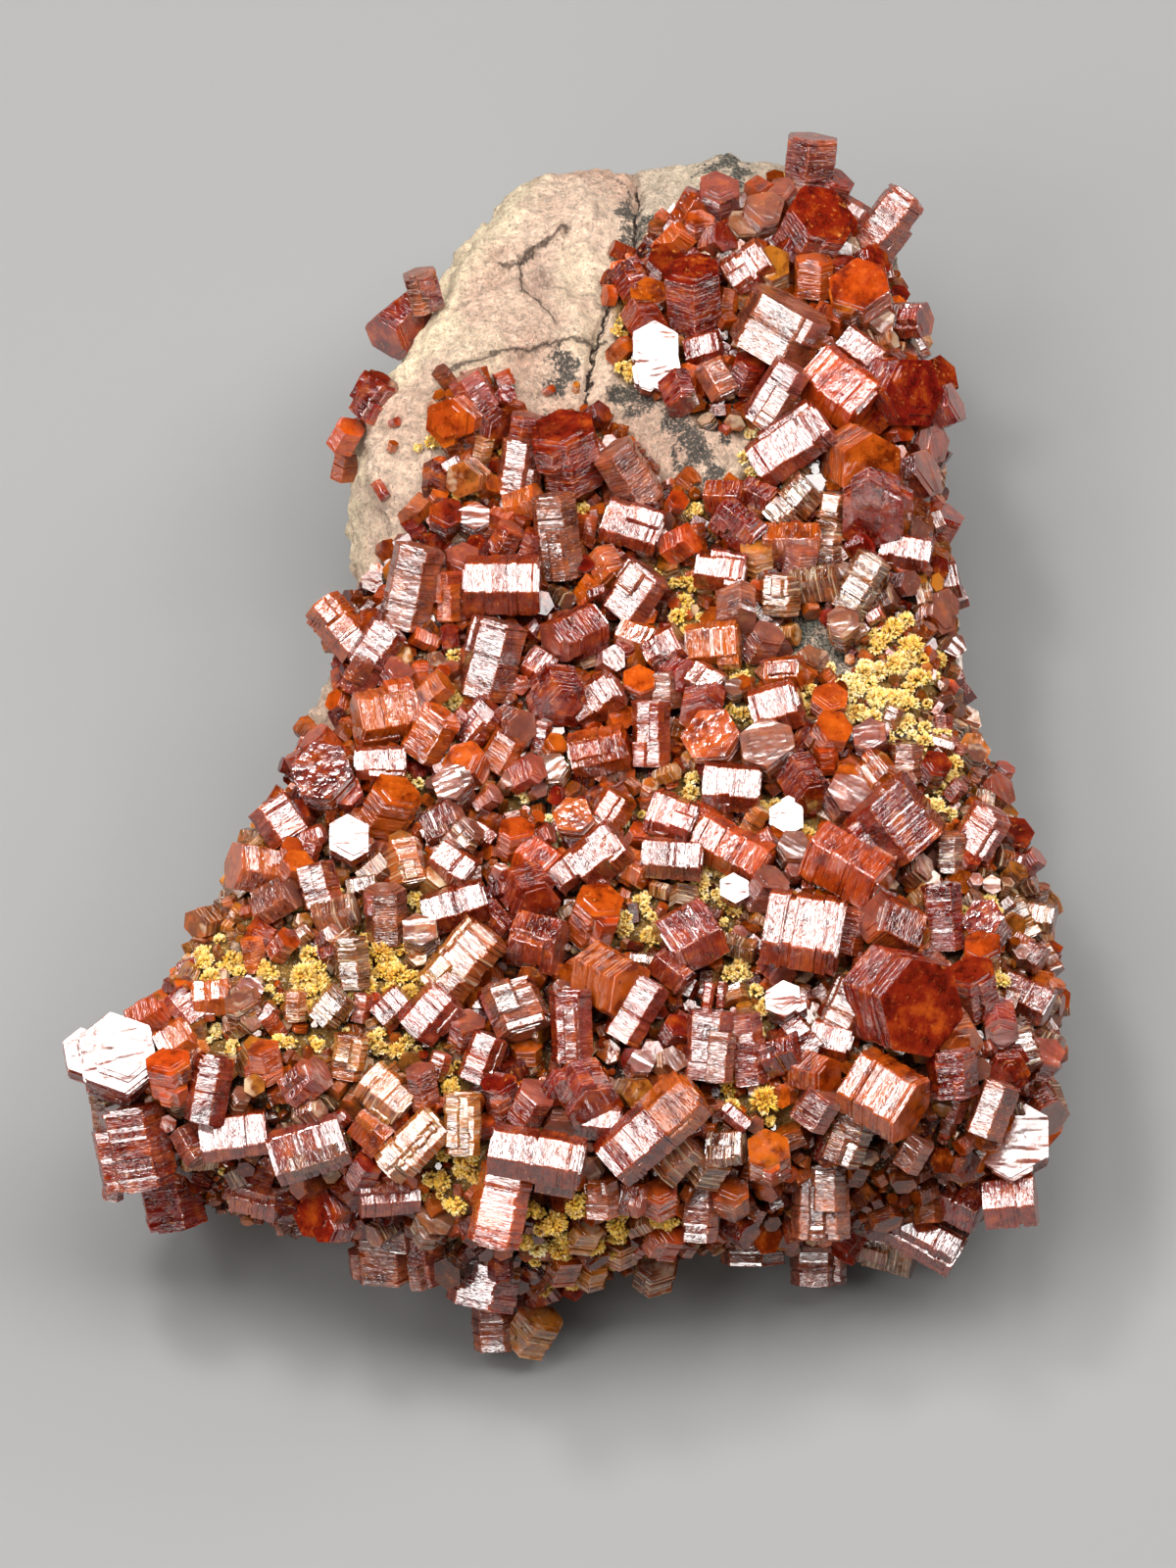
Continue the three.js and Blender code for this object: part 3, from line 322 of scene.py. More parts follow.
# Small crystals of the carpet that are seen one by one, in lines of the same kind.
SMALL_CRYSTALS = """
druse
20.3 60.4 120 50 0 1.7 3 0.5 mauve
15.6 57 60 50 10 1.7 2.8 0 brown
10.6 59.2 60 20 0 1.8 3.4 0 orange
11.3 57 80 40 0 1.7 3 0.2 orange
13.3 56 20 50 0 1.7 3 0.2 red
8.8 55.7 45 20 0 1.7 3.6 0 orange
24.9 47.6 -20 20 0 1.6 3.2 0.3 orange
16.2 41.9 70 35 0 1.8 3.4 0.4 red
13.3 41.3 -60 15 10 1.8 3.8 0.6 mauve
11.9 44.7 15 15 10 1.7 3.6 0 red
25 27.4 82 5 10 1.8 4.6 0.3 brown
36.4 13.8 40 50 0 1.7 3 0 mauve
21.6 22.6 80 20 0 1.8 3.2 0.2 mauve
14 29.4 0 20 0 1.8 3.8 0.2 red
17.2 22.8 90 30 0 1.8 3.2 0 amber
9.4 24.4 30 30 0 1.8 3.2 0.2 orange
1.2 33 -40 10 12 1.8 3.4 0.6 pale
-6.6 36.2 80 20 0 1.7 3 0.4 red
-11.6 26.8 90 65 0 1.7 2.4 0.4 pale
-5.6 24 70 20 0 1.7 3.4 0.4 red
-8.5 24.8 60 20 0 1.7 3.2 1.2 pale
-12.8 22.5 90 50 0 1.7 2.8 0.6 pale
-24.8 35.6 60 40 0 1.7 3 0 orange
-24.8 32.9 80 30 0 1.7 3 0 orange
-19.6 10.9 60 45 0 1.7 2.6 0.4 pale
-15.7 9.4 40 15 10 1.8 3.4 0.4 orange
-29.8 -8.8 60 45 0 1.8 3.4 0.4 orange
-8.6 3.2 60 15 12 1.8 3.8 0.6 orange
-6.4 1.1 30 40 10 1.8 3.2 0.4 pale
-25.4 -13.1 15 15 0 1.8 4.2 0 brown
-4.8 12 -30 15 12 1.7 3 0.6 pale
5 15 -20 20 12 1.8 3.6 0.2 orange
12 10.4 -30 20 14 1.8 3.4 0.2 mauve
5.3 9.9 90 55 0 1.8 3 0.2 orange
7.9 9.5 90 8 14 1.7 3.4 0.6 mauve
-3.2 1.2 120 65 0 1.7 2.8 0.2 brown
11.4 -3.9 60 15 0 1.7 3.2 0.2 orange
-1.9 -8.8 38 15 14 1.8 3.2 0.4 pale
17.7 14.1 60 40 0 1.8 3.6 0.2 mauve
32.3 2.1 90 6 14 1.7 3.9 0.3 brown
34.9 1.2 60 50 0 1.7 3 0.2 red
20.6 -6.9 60 60 0 1.8 3 0.3 mauve
38.8 3 60 60 0 1.8 3.2 0 amber
41 -1.2 30 40 0 1.8 3.4 0 pale
42.2 -8.1 -20 15 10 1.7 3.4 0 pale
36.5 -6.9 90 6 14 1.8 3.9 0.6 brown
43.4 -13.8 -60 10 12 1.8 4.6 0.2 amber
45.4 -13.5 -10 10 12 1.8 3.6 0.2 brown
44.4 -17 -30 20 10 1.7 3.6 0 mauve
43.8 -26.4 -70 15 12 1.8 5 0.4 brown
45.8 -27.7 60 50 0 1.8 3.2 0 pale
8.4 -18.9 -40 15 0 1.8 4 0.2 red
1 -34 -5 8 12 1.8 4.6 0.4 mauve
26.3 -14.8 78 8 12 1.7 4.4 1.2 pale
24.4 -25.8 -15 10 14 1.8 4 0.4 pale
18.9 -18.5 -55 40 0 1.7 3 0.4 mauve
-40.5 -22.6 -50 12 12 1.7 3.8 0.4 pale
-44.8 -28.4 80 40 0 1.8 3.4 0 red
-16.9 -15.3 95 70 0 1.8 3.2 0.6 brown
-23.6 -18 95 8 12 1.8 5 0.4 brown
-25.8 -22.5 50 8 14 1.8 3.8 0.4 brown
-19.6 -22.4 45 8 14 1.7 3.6 0.4 pale
-16.6 -30.5 100 30 0 1.8 4 0.2 pale
0.3 -49.3 80 55 0 1.7 3.4 0 amber
-0.5 -45.5 60 45 0 1.7 3.2 0 amber
7.3 -41.8 90 55 0 1.8 3.2 0.2 orange
3.2 -46.8 90 50 0 1.8 3.2 0 amber
32.7 -37.1 60 20 10 1.7 3.4 0 mauve
31.8 49.9 60 50 0 1.2 2.2 0.4 red
31.5 45 10 10 14 1 2.4 0.6 pale
32.8 45 60 40 0 1 2 0.4 red
34.2 45 -60 10 14 0.8 2.4 0.6 pale
35.3 29.2 60 30 0 0.8 1.8 0.4 orange
27.7 24.2 20 40 0 1.3 2.6 0.3 red
29.2 17.2 30 10 14 0.8 1.8 1 pale
24.5 23.6 90 15 12 1.3 3 0.4 brown
8.9 28.4 60 50 0 1.3 2.4 0.3 orange
-3.5 32.8 70 20 10 1 2.3 3.6 mauve
-8.7 39.5 40 50 0 1.1 2 0.3 red
-11.7 35.3 20 40 0 1 2 0.2 orange
-10.7 34.2 80 20 0 1.1 3 0.2 amber
-13.9 32.6 30 10 14 0.8 1.8 0.6 pale
-15.3 29.3 60 50 0 1 2 0.2 orange
-8.7 26.9 -20 30 0 1.2 2.6 0.4 orange
0.9 19.5 20 20 14 0.7 1.8 1.2 pale
2.5 23.3 -40 30 0 1.3 2.8 0.3 red
-9.6 16.2 40 20 14 0.9 2 1.2 pale
-23.3 37.3 30 40 0 0.6 1.2 0 orange
-20 34.5 70 40 0 0.5 1 0 orange
-19.8 37 20 50 0 0.5 1.1 0 orange
-21.2 30 -60 20 0 0.7 2 0 red
-4 40.3 30 40 0 0.5 1.1 0 orange
-1.2 40.6 80 50 0 0.45 1 0 amber
-17 11.2 90 15 0 1 2.4 0.4 orange
-15 10.9 60 40 0 0.9 2 0.3 orange
-14.8 5.8 60 50 0 1.1 2.2 0.5 orange
-28.3 3 -10 15 14 1 2 0.4 pale
-10.2 -1.6 40 30 14 1.2 2.4 1 pale
-8.2 0.1 60 60 0 1 2 0.8 mauve
-5.4 -0.6 20 60 0 1 1.8 0.6 mauve
-4.8 4.8 80 10 14 1 3.2 1 pale
-3.5 3.5 60 50 0 1.3 2.4 0.3 orange
2.2 12.6 30 62 0 1.4 2.4 0.8 mauve
3.6 13.2 80 30 0 1.2 2.6 0.2 red
14.7 9.4 80 80 0 1.1 2.2 0.3 brown
8 1 20 30 0 1 2.4 0.3 amber
6.2 -0.6 80 50 0 0.9 1.8 0.2 amber
10.4 2.2 -30 30 0 0.9 2 0.3 amber
-4.5 -5.3 30 30 14 1.1 2 1 pale
4.9 -5.3 60 50 0 1.1 2.2 0.4 orange
1 -10.3 50 20 14 1 2.2 0.8 pale
7.4 -10.7 -20 30 0 0.9 2 0.4 brown
14.7 -10.7 90 74 0 1.6 2.4 1.6 pale
22.2 12.5 40 40 0 1.3 2.4 0.2 brown
26 0.3 60 50 0 1.4 2.6 0.3 orange
30.8 6.8 70 10 12 1 2.2 0.6 brown
36 5.8 90 8 14 1.05 2.4 0.6 pale
36 3.9 -18 8 14 0.8 2.3 0.6 pale
37.2 -0.7 50 20 14 1 2 0.6 pale
42 1 60 30 14 1.1 2.2 0.2 pale
31.8 0 60 60 0 1.2 2.2 0.4 mauve
17.6 -5.8 30 20 14 1.2 2.4 1.4 pale
16.8 -3.7 60 10 0 1.3 3 0.3 amber
20.8 -8.9 60 60 0 1.1 2 0.6 mauve
-38.6 -14 95 12 0 1 3 0 orange
-37.3 -13.8 80 10 12 1 2.4 0.2 brown
-38.3 -16 60 50 0 1.2 2.2 0 orange
-35.5 -13.3 60 40 0 1 2 0.2 amber
-33.7 -17.2 100 20 0 1.3 3.2 0.3 orange
-30.7 -16.3 50 40 0 1.4 2.8 0.3 orange
-29 -15.3 40 12 12 1 2.4 0.5 brown
-30 -6.9 60 50 0 1.2 2.4 0.3 orange
-27.7 -5.3 20 20 14 1.1 2.2 1.2 pale
-28 -6.8 70 20 14 1 2.2 1 pale
-29.3 -5.7 -20 10 14 0.8 2 1 pale
-40.3 -18.5 20 20 14 0.9 2 0.2 pale
-34.2 -21 60 60 0 1.4 2.4 0.4 mauve
-34.8 -24 30 40 0 1.6 3 0.2 brown
-32.4 -23.3 50 10 14 0.95 2.4 0.8 pale
-29.5 -22.3 90 10 12 1.2 3 0.6 amber
-22.8 -10.3 10 10 12 1.2 3 0.3 brown
-17 -4.7 60 40 0 0.9 2 0.4 orange
-10.6 -5.2 -35 12 14 1.1 2.6 0.6 pale
-9 -9.4 60 60 0 1.1 2.2 0.8 mauve
-22.8 -22.5 80 12 14 1 2.8 0.8 pale
-21.6 -22 60 40 0 0.7 1.8 0.4 orange
-26.2 -15.6 40 50 0 1.2 2.4 0.5 mauve
-26.2 -17 20 20 14 0.8 1.8 0.6 pale
-15 -28.3 70 15 12 1.1 2.6 0.4 pale
5.5 -17.8 -10 10 10 0.8 2.6 0.4 brown
5.1 -28.3 60 75 0 1.5 2.4 1 mauve
8 -28 30 50 0 1.4 2.6 0.4 brown
8.7 -25 60 50 0 1.5 2.8 0 red
17.5 -16.5 -40 10 14 0.7 3 1 pale
15 -16.5 -15 15 0 1.4 4 0.4 brown
15 -15.3 60 50 0 0.9 1.8 0.6 mauve
12 -21.5 80 8 14 0.6 3 1.2 pale
13.4 -21.2 86 8 14 0.5 2.6 1.2 pale
35 -22.2 60 40 0 1.3 2.6 0.3 mauve
33 -8.8 30 40 0 1.5 3 0.3 brown
39 -10 60 60 0 0.8 1.8 0.6 mauve
38.7 -12 40 30 0 1 2.2 0.4 brown
38.5 -8 60 50 0 1.2 2.4 0.4 red
44.8 -8 40 20 12 1.3 2.4 0 pale
43.5 -17.3 60 60 0 0.9 2 0.4 mauve
46.3 -18 -60 20 0 1.4 3 0 brown
47 -21 60 30 0 1 2.2 0 orange
42 -10.5 60 40 0 0.8 2 0.2 brown
44.3 -10.5 20 20 0 0.9 2.2 0.2 brown
46 -11.2 80 30 0 0.8 2 0.2 brown
40 -26.6 30 20 14 0.9 2 0.8 pale
-35 -31.7 60 50 0 1.2 2.2 0.2 brown
-28 -33 20 40 0 1.5 2.8 0 brown
-48 -40.5 90 30 12 1.1 3 0 pale
-42 -37.3 40 20 14 0.9 2 1.4 pale
-30.3 -42.8 60 50 0 1.4 2.6 0 red
1 -44.8 60 62 0 1.2 2.2 0.4 mauve
4.8 -46.8 40 40 14 1.2 2.4 0.4 pale
10.2 -46.8 60 50 0 0.9 2 0.2 mauve
5.3 -44.3 20 30 0 1.3 2.6 0.2 amber
14.4 -43.2 60 20 14 0.9 2 0.4 pale
16.9 -43.5 60 20 14 0.9 2 0.8 pale
14.8 -33.5 -40 10 14 1 3 0.8 pale
11 -34.7 20 20 14 0.6 1.6 1 pale
37 -32.7 70 20 14 1 2.4 0.8 pale
-24.9 -33.8 40 20 14 0.9 2 0.6 pale
-21.8 -37.5 60 20 14 0.7 1.8 1 pale
-15.5 -45.8 60 30 14 1.2 2.2 0.4 pale
"""

# Clumps of yellow and cream grains: (across, up, radius, cream), cream from 0 for yellow to 1.
CLUMPS = [
    (-28.5, -19.5, 1.9, 0.3), (-27.3, -21, 1.4, 0.2), (-32, -19, 1.3, 0.2), (-29.3, -12.3, 1, 0.2),
    (-38.7, -17.3, 1.2, 0.4), (-36, -17.8, 1.3, 0.1), (-38, -19.7, 1.5, 0.2), (-42.3, -20.5, 1.2, 0.2),
    (-37.5, -25.3, 1, 0.6), (-35.5, -26.3, 1, 0.3), (-24, -14.5, 1.2, 0.2), (-21.3, -25.8, 1.3, 0.3),
    (-19, -26.7, 1.2, 0.2), (-17.5, -11.8, 1.2, 0.3), (-18, -1.2, 1.2, 0.5), (-4.6, 1, 1.2, 0.5),
    (-6.8, -0.9, 1, 0.6), (-24.2, -0.8, 1.1, 0.5), (-13.7, 9, 1.3, 0.4), (9.3, 16.7, 1.3, 0.2),
    (3.5, 8.5, 1.2, 0.3), (15.5, 10.5, 1.2, 0.3), (15.5, 6.8, 1.1, 0.2), (22.3, 7.5, 1.1, 0.3),
    (22.3, -5.5, 1.2, 0.2), (17.5, -2.7, 1.2, 0.4), (10.3, -1, 1.2, 0.4), (5, -5, 1.1, 0.3),
    (-3, -5.3, 1.1, 0.9), (30.5, 4, 1.2, 0.4), (34, 4, 1.3, 0.4), (37, 1.8, 1.2, 0.3),
    (35.5, -0.8, 1.2, 0.3), (35, -2.3, 1.2, 0.5), (5.2, -12, 1.2, 0.4), (3.8, -14.8, 1.2, 0.4),
    (6.3, -15.7, 1.4, 0.3), (11.5, -10.2, 1.5, 0.5), (13.2, -8.8, 1.2, 0.4), (14.8, -13, 1.3, 0.3),
    (15.3, -19.2, 1.4, 0.4), (17.3, -23.3, 1.2, 0.3), (40.5, -12.2, 1.2, 0.3), (38, -13.2, 1.1, 0.3),
    (41.3, -20, 1.2, 0.3), (-14.5, -39.8, 1.3, 0.1), (-13, -42, 1.4, 0.1), (-11.6, -39.2, 1.2, 0.1),
    (-12.6, -37.4, 1.2, 0.1), (17.5, -32, 2, 0), (-3.8, -43.8, 1.8, 0), (-1.3, -42, 1.3, 0),
    (-4, -55, 2.4, 0.8), (-2.2, -52.8, 1.8, 0.6), (-6.3, -57, 1.4, 0.2), (-19, -19.5, 1.6, 0.1),
    (-21, -17, 1.6, 0.1), (-22.5, -20.5, 1.6, 0.1), (-20, -21, 1.3, 0.1), (-18.6, -16.8, 1.2, 0.1),
    (27, 7, 1.4, 0.4), (29.4, 8.6, 1.6, 0.5), (32.5, 7.6, 1.5, 0.4), (28, 11, 1.5, 0.6),
    (31, 12, 1.6, 0.4), (33, 14, 1.5, 0.2), (33.4, 10.4, 1.5, 0.3), (30, 14.2, 1.4, 0.3),
    (26.8, 9.6, 1.2, 0.8), (35.4, 12.6, 1.2, 0.1), (31.6, 5.4, 1.2, 0.6), (-8.5, 30.6, 1, 0.1),
    (-13.2, 29.2, 1, 0.3), (-16, 35, 1, 0.1), (-5.3, 30.2, 0.9, 0.2), (-0.4, 27.8, 1, 0.2),
    (11, 27.6, 1.1, 0.2), (6.8, 21.2, 1, 0.2), (10.5, 20.2, 1, 0.1), (4.2, 42, 1.2, 0.2),
    (3.2, 47.5, 1, 0.1), (19.8, 62.2, 1.1, 0.1), (16.7, 36, 0.9, 0.6), (15.8, 33.2, 1, 0.4),
    (-43.5, -22, 1.1, 0.1), (-31, -26, 1.1, 0.2), (-27, -26.5, 1.1, 0.1), (-25.2, -11.2, 1, 0.2),
    (-33, -13.6, 1.1, 0.1), (-36.6, -22, 1.2, 0.1), (-14.2, -26.6, 1, 0.2), (-13.8, -30.6, 1.2, 0.1),
    (0.5, -46, 1.6, 0), (-1.5, -49.5, 1.7, 0.1), (3, -44, 1.4, 0), (-3, -46.5, 1.5, 0), (5.5, -47.5, 1.2, 0.1),
    (-2.6, -51.4, 1.6, 0.2), (6.8, -43.6, 1.2, 0), (-3.4, -57, 1.4, 0.4),
]

# Patches of bare grey-green rock in the carpet: (across, up, radius).
BARE_PATCHES = [
    (22, 14.5, 3.6), (25.5, 12.6, 2), (-4, -2.5, 1.9), (9, 5, 1.1), (14.7, 8, 1), (32, 5.2, 0.9),
    (29, 6.8, 0.9), (-14.5, 12, 1.1), (-25.6, 13.3, 1), (-17, 1, 1), (-22.3, 5.5, 1), (-6.5, 8, 1),
    (-36.3, -11.5, 1.6),
]

# Grey-black stains on the bare rock: (across, up, radius).
STAINS = [
    (5.5, 55.5, 2.6), (14, 64, 3.2), (4, 39.5, 2.4), (-2.5, 42, 1.6), (11, 33, 2.6), (9.6, 37.5, 2.2),
    (4, 58.5, 1.6), (-3.5, 41, 1.5), (5.6, 50.6, 1.4), (6.8, 39.8, 1.8), (-4, 40.5, 0.8), (12.6, 30.6, 1.6),
]

# Lines on the display plane: the crack down the bare rock and the ledges beside it, the line where the rock
# bends back into its cream flank, and the rock's upper left edge. Ledges step down on their right side.
SEAMS = [
    [(5, 61.7), (4.6, 54.2), (2.8, 50.8), (1.4, 46.6), (0.8, 44.6), (-0.3, 38.3)],
    [(-8.7, 52.7), (-7.2, 52.8), (-5.2, 54.9), (-2.6, 56.4)],
    [(-4, 47.4), (-5, 49.2), (-6.8, 49.8), (-7, 52.8)],
    [(-14.5, 41.9), (-9.2, 43.8), (-5, 44.4), (-2, 45.4), (1.2, 44.9)],
]
POCKET = (-4.6, 51.8)  # a sunken spot between the ledges
FLANK = [
    (-6.1, 60.4), (-8.7, 56.4), (-12.4, 52.2), (-14, 47.5), (-19, 41.7), (-23.4, 36.4), (-24, 30), (-23, 24),
]
LEFT_EDGE = [(-5.6, 61.7), (-14, 52.2), (-19.8, 43), (-24, 35.6)]
CRUST_END = ((62.0, 25.0), (-56.0, 3.0))  # (y, z): on the walls the crust ends on this slant

# The lower edge of what the small crystals cover, as (across, up) places from left to right.
FRONT_EDGE = [
    (-60, -33), (-50, -33), (-48, -39), (-44, -44), (-40, -43), (-38.5, -40), (-36.5, -38), (-35, -42), (-31, -44),
    (-25, -44), (-20, -48), (-16, -49), (-12, -53), (-5, -57), (-1, -51), (0, -47), (6, -47), (11, -45), (20, -48),
    (27, -48), (36, -48), (39, -45), (46, -44), (60, -40),
]

# Base colours of the crystals, linear.
TONES = {
    "red": (0.18, 0.010, 0.003),
    "orange": (0.40, 0.058, 0.004),
    "amber": (0.38, 0.120, 0.014),
    "brown": (0.18, 0.048, 0.012),
    "mauve": (0.20, 0.040, 0.022),
    "pale": (0.23, 0.022, 0.007),
}
BARRED = ("amber", "brown")  # tones whose crystals are strongly barred
CLEAR_ENDED = ("red", "orange", "amber")  # tones whose end faces are as clear as their sides
# Cloudy end faces are rougher and carry a painted pale sheen, a reflection painted into their colour.
CLEAR_END, CLOUDY_SHEENED_END = 0.5, 1.0  # the end faces' "cap" value, which is 0 on the sides

# Sizes that several steps share, in mm.
FAR_OUT = 140  # rays that look for the ground start this far out
ROCK_GRID = 0.68  # of the rock's mesh
PLATE, SIDE_PLATE = 0.4, 0.5  # how thick the plates of a crystal and of those at its sides are
CHAMFER = 0.03  # how much of each side a large crystal's bevelled edges take up
SIDE_CRYSTALS_FROM = 1.85  # crystals of at least this radius carry smaller ones at their sides
STEEPEST = 61  # the steepest lift of a crystal whose end face isn't to mirror the light, in degrees

# The scattered crystals: (tries, least radius, greatest radius, share of two radii kept clear, plates).
SCATTERS = ((3600, 1.0, 1.8, 0.78, 3), (8000, 0.6, 1.1, 0.74, 2), (6000, 0.3, 0.6, 0.74, 1))
LONE_BURSTS = 340  # balls of needles outside the clumps


# ---- Small helpers ----
Row = namedtuple("Row", "across up heading lift spin radius length perch tone")


def crystal_rows(text):
    """The rows of a text of crystals, by place."""
    places = {}
    for line in text.strip().splitlines():
        *numbers, word = line.split()
        if numbers:
            rows.append(Row(*map(float, numbers), word))
        else:
            rows = places[word] = []
    return places


def to_row(points):
    """Places in the row frame, in metres."""
    return (np.asarray(points, float) - CENTRE) * MM


def on_display(points):
    """How far across and up the display plane places are."""
    rel = np.asarray(points, float) - ORIGIN
    return rel @ ACROSS, rel @ UP


def smooth(low, high, value):
    """A smooth step from 0 at low to 1 at high."""
    t = np.clip((value - low) / (high - low), 0, 1)
    return t * t * (3 - 2 * t)


def outline_distance(across, up, outline):
    """Distance inside a closed outline, negative outside it."""
    best = np.full(len(across), 1e9)
    inside = np.zeros(len(across), bool)
    for (x0, y0), (x1, y1) in zip(outline, outline[1:] + outline[:1]):
        ex, ey = x1 - x0, y1 - y0
        t = np.clip(((across - x0) * ex + (up - y0) * ey) / (ex * ex + ey * ey), 0, 1)
        best = np.minimum(best, np.hypot(across - x0 - t * ex, up - y0 - t * ey))
        crosses = (y0 > up) != (y1 > up)
        at = x0 + (up - y0) * ex / (ey if abs(ey) > 1e-9 else 1e-9)
        inside ^= crosses & (across < at)
    return np.where(inside, best, -best)


def line_distance(across, up, points):
    """Distance from an open line of points, and distance beside it: positive on its right."""
    best = np.full(len(across), 1e9)
    beside = np.zeros(len(across))
    for (x0, y0), (x1, y1) in zip(points, points[1:]):
        ex, ey = x1 - x0, y1 - y0
        t = np.clip(((across - x0) * ex + (up - y0) * ey) / (ex * ex + ey * ey), 0, 1)
        d = np.hypot(across - x0 - t * ex, up - y0 - t * ey)
        nearer = d < best
        best = np.where(nearer, d, best)
        beside = np.where(nearer, ((across - x0) * ey - (up - y0) * ex) / math.hypot(ex, ey), beside)
    return best, beside


def near_clumps(across, up, reach):
    """1 in the middle of each clump of grains and falling round it, over that share of its radius."""
    near = np.zeros(len(across))
    for x, y, r, _ in CLUMPS:
        near = np.maximum(near, np.exp(-((across - x) ** 2 + (up - y) ** 2) / (reach * r) ** 2))
    return near


def carpet(points, wobble):
    """How far a place is inside the drusy carpet, negative outside it."""
    across, up = on_display(points)
    (y0, z0), (y1, z1) = CRUST_END
    run = math.hypot(y1 - y0, z1 - z0)
    above = ((points[:, 2] - z0) * (y0 - y1) - (points[:, 1] - y0) * (z0 - z1)) / run
    return np.minimum(outline_distance(across, up, CRUST_OUTLINE), above) + wobble


def fractal(points, scale, octaves, seed):
    """Fractal noise round 0 at each place."""
    shift = Vector((17.3 * seed, 5.1 * seed, 9.7 * seed))
    return np.array([noise.fractal(Vector(p) * scale + shift, 1.0, 2.0, octaves) for p in points])


def cells(points, size, seed):
    """Rounded bumps of about that size: 1 in the middle of each, 0 between them."""
    shift = Vector((3.7 * seed, 11.9 * seed, 7.3 * seed))
    nearest = np.array([noise.voronoi(Vector(p) / size + shift)[0][0] for p in points])
    return 1 - smooth(0, 0.8, nearest)


def mesh_object(name, points, faces, smooth_shade=False):
    """An object in the scene with a mesh of its own."""
    mesh = bpy.data.meshes.new(name)
    mesh.from_pydata(to_row(points).tolist(), [], faces)
    mesh.polygons.foreach_set("use_smooth", [smooth_shade] * len(mesh.polygons))
    mesh.update()
    made = bpy.data.objects.new(name, mesh)
    scene.collection.objects.link(made)
    return made


def add_layer(mesh, name, kind, values, domain="POINT"):
    """Numbers, vectors or colours at the points or faces of a mesh, for its material to read."""
    layer = mesh.attributes.new(name, kind, domain)
    field = {"FLOAT": "value", "FLOAT_VECTOR": "vector", "FLOAT_COLOR": "color"}[kind]
    layer.data.foreach_set(field, np.asarray(values, np.float32).ravel())


def add_tint(mesh, colours):
    """A colour for each point of a mesh."""
    add_layer(mesh, "tint", "FLOAT_COLOR", np.column_stack([colours, np.ones(len(colours))]))


# ---- Rock ----
def rock_surface():
    """A fine, even mesh of the rock's CAD solid: points and faces."""
    work = bmesh.new()
    work.from_mesh(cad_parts["matrix"].data)
    bmesh.ops.remove_doubles(work, verts=work.verts, dist=1e-6)
    mesh = bpy.data.meshes.new("rock_base")
    work.to_mesh(mesh)
    work.free()
    base = bpy.data.objects.new("rock_base", mesh)
    scene.collection.objects.link(base)
    even = base.modifiers.new("even", "REMESH")
    even.mode = "VOXEL"
    even.voxel_size = ROCK_GRID * MM
    rounding = base.modifiers.new("rounding", "SMOOTH")
    rounding.factor = 0.5
    rounding.iterations = 6
    result = base.evaluated_get(bpy.context.evaluated_depsgraph_get()).to_mesh()
    points = np.empty(len(result.vertices) * 3)
    result.vertices.foreach_get("co", points)
    faces = [tuple(p.vertices) for p in result.polygons]
    bpy.data.objects.remove(base)
    return points.reshape(-1, 3) / MM + CENTRE, faces


def point_normals(points, faces):
    """The outward direction at each point of a mesh of quads and triangles."""
    quads = np.array([f if len(f) == 4 else (*f, f[-1]) for f in faces])
    a, b, c, d = (points[quads[:, i]] for i in range(4))
    across = np.cross(c - a, d - b)
    normals = np.zeros_like(points)
    for i in range(4):
        np.add.at(normals, quads[:, i], across)
    return normals / np.maximum(np.linalg.norm(normals, axis=1, keepdims=True), 1e-12)


rock_points, rock_faces = rock_surface()
rock_normals = point_normals(rock_points, rock_faces)
across, up = on_display(rock_points)
facing = rock_normals @ OUT

# Where the carpet lies: its rim wanders, more so on the walls, and the left wall is bare above the wide end.
on_wall = 1 - smooth(0.0, 0.35, facing)
wobble = 0.9 * fractal(rock_points, 0.3, 3, 1) + 7 * on_wall * fractal(rock_points, 0.08, 3, 21)
wobble -= 3 * on_wall
crusted = smooth(-0.6, 0.8, carpet(rock_points, wobble))
crusted *= 1 - on_wall * (across < 0) * smooth(-7, 0, up + 8 * fractal(rock_points, 0.1, 2, 22))
for x, y, r in BARE_PATCHES:
    d = np.hypot(across - x, up - y)
    crusted *= 1 - (1 - smooth(0.6 * r, 1.1 * r, d)) * (facing > 0)

# The bare rock's relief: swells, ledges, grain, pits and steps, then its crack, seams, pocket and flank.
seams = [line_distance(across, up, seam) for seam in SEAMS]
crack = np.where(facing > 0, seams[0][0], 99)
flank = line_distance(across, up, FLANK)[1]
broad = fractal(rock_points, 0.07, 3, 2)
ledges = 1 - np.abs(fractal(rock_points, 0.16, 4, 3)) * 2
grain = fractal(rock_points, 0.55, 4, 4)
pits = cells(rock_points, 2.4, 5)
steps = 3.0 * fractal(rock_points, 0.11, 3, 12) + 0.05 * (rock_points @ np.array([0.5, 0.8, 0.3]))
steps = (np.floor(steps * 2.2) + smooth(0.7, 1.0, (steps * 2.2) % 1)) / 2.2
bare_relief = -0.45 + 0.5 * broad + 0.35 * ledges + 0.55 * grain + 0.12 * pits + 0.55 * steps
bare_relief -= 1.5 * np.exp(-((crack / 0.5) ** 2))
bare_relief -= 0.8 * np.exp(-((crack / 4.0) ** 2)) * (seams[0][1] > 0)
for d, beside in seams[1:]:
    bare_relief -= 0.5 * np.tanh(beside / 0.4) * np.exp(-((d / 2.2) ** 2)) * (facing > 0)
pocket = np.exp(-(((across - POCKET[0]) / 1.7) ** 2) - ((up - POCKET[1]) / 2.7) ** 2) * (facing > 0)
bare_relief -= 0.9 * pocket + 0.35 * np.clip(flank, 0, 4) * (facing > 0)
crust_relief = 0.3 + 0.9 * cells(rock_points, 2.2, 6) + 0.35 * grain
relief = bare_relief * (1 - crusted) + crust_relief * crusted
relief *= 0.25 + 0.75 * smooth(0.4, 2.5, rock_points[:, 2])  # less of it near the flat back
rock_points = rock_points + rock_normals * relief[:, None]

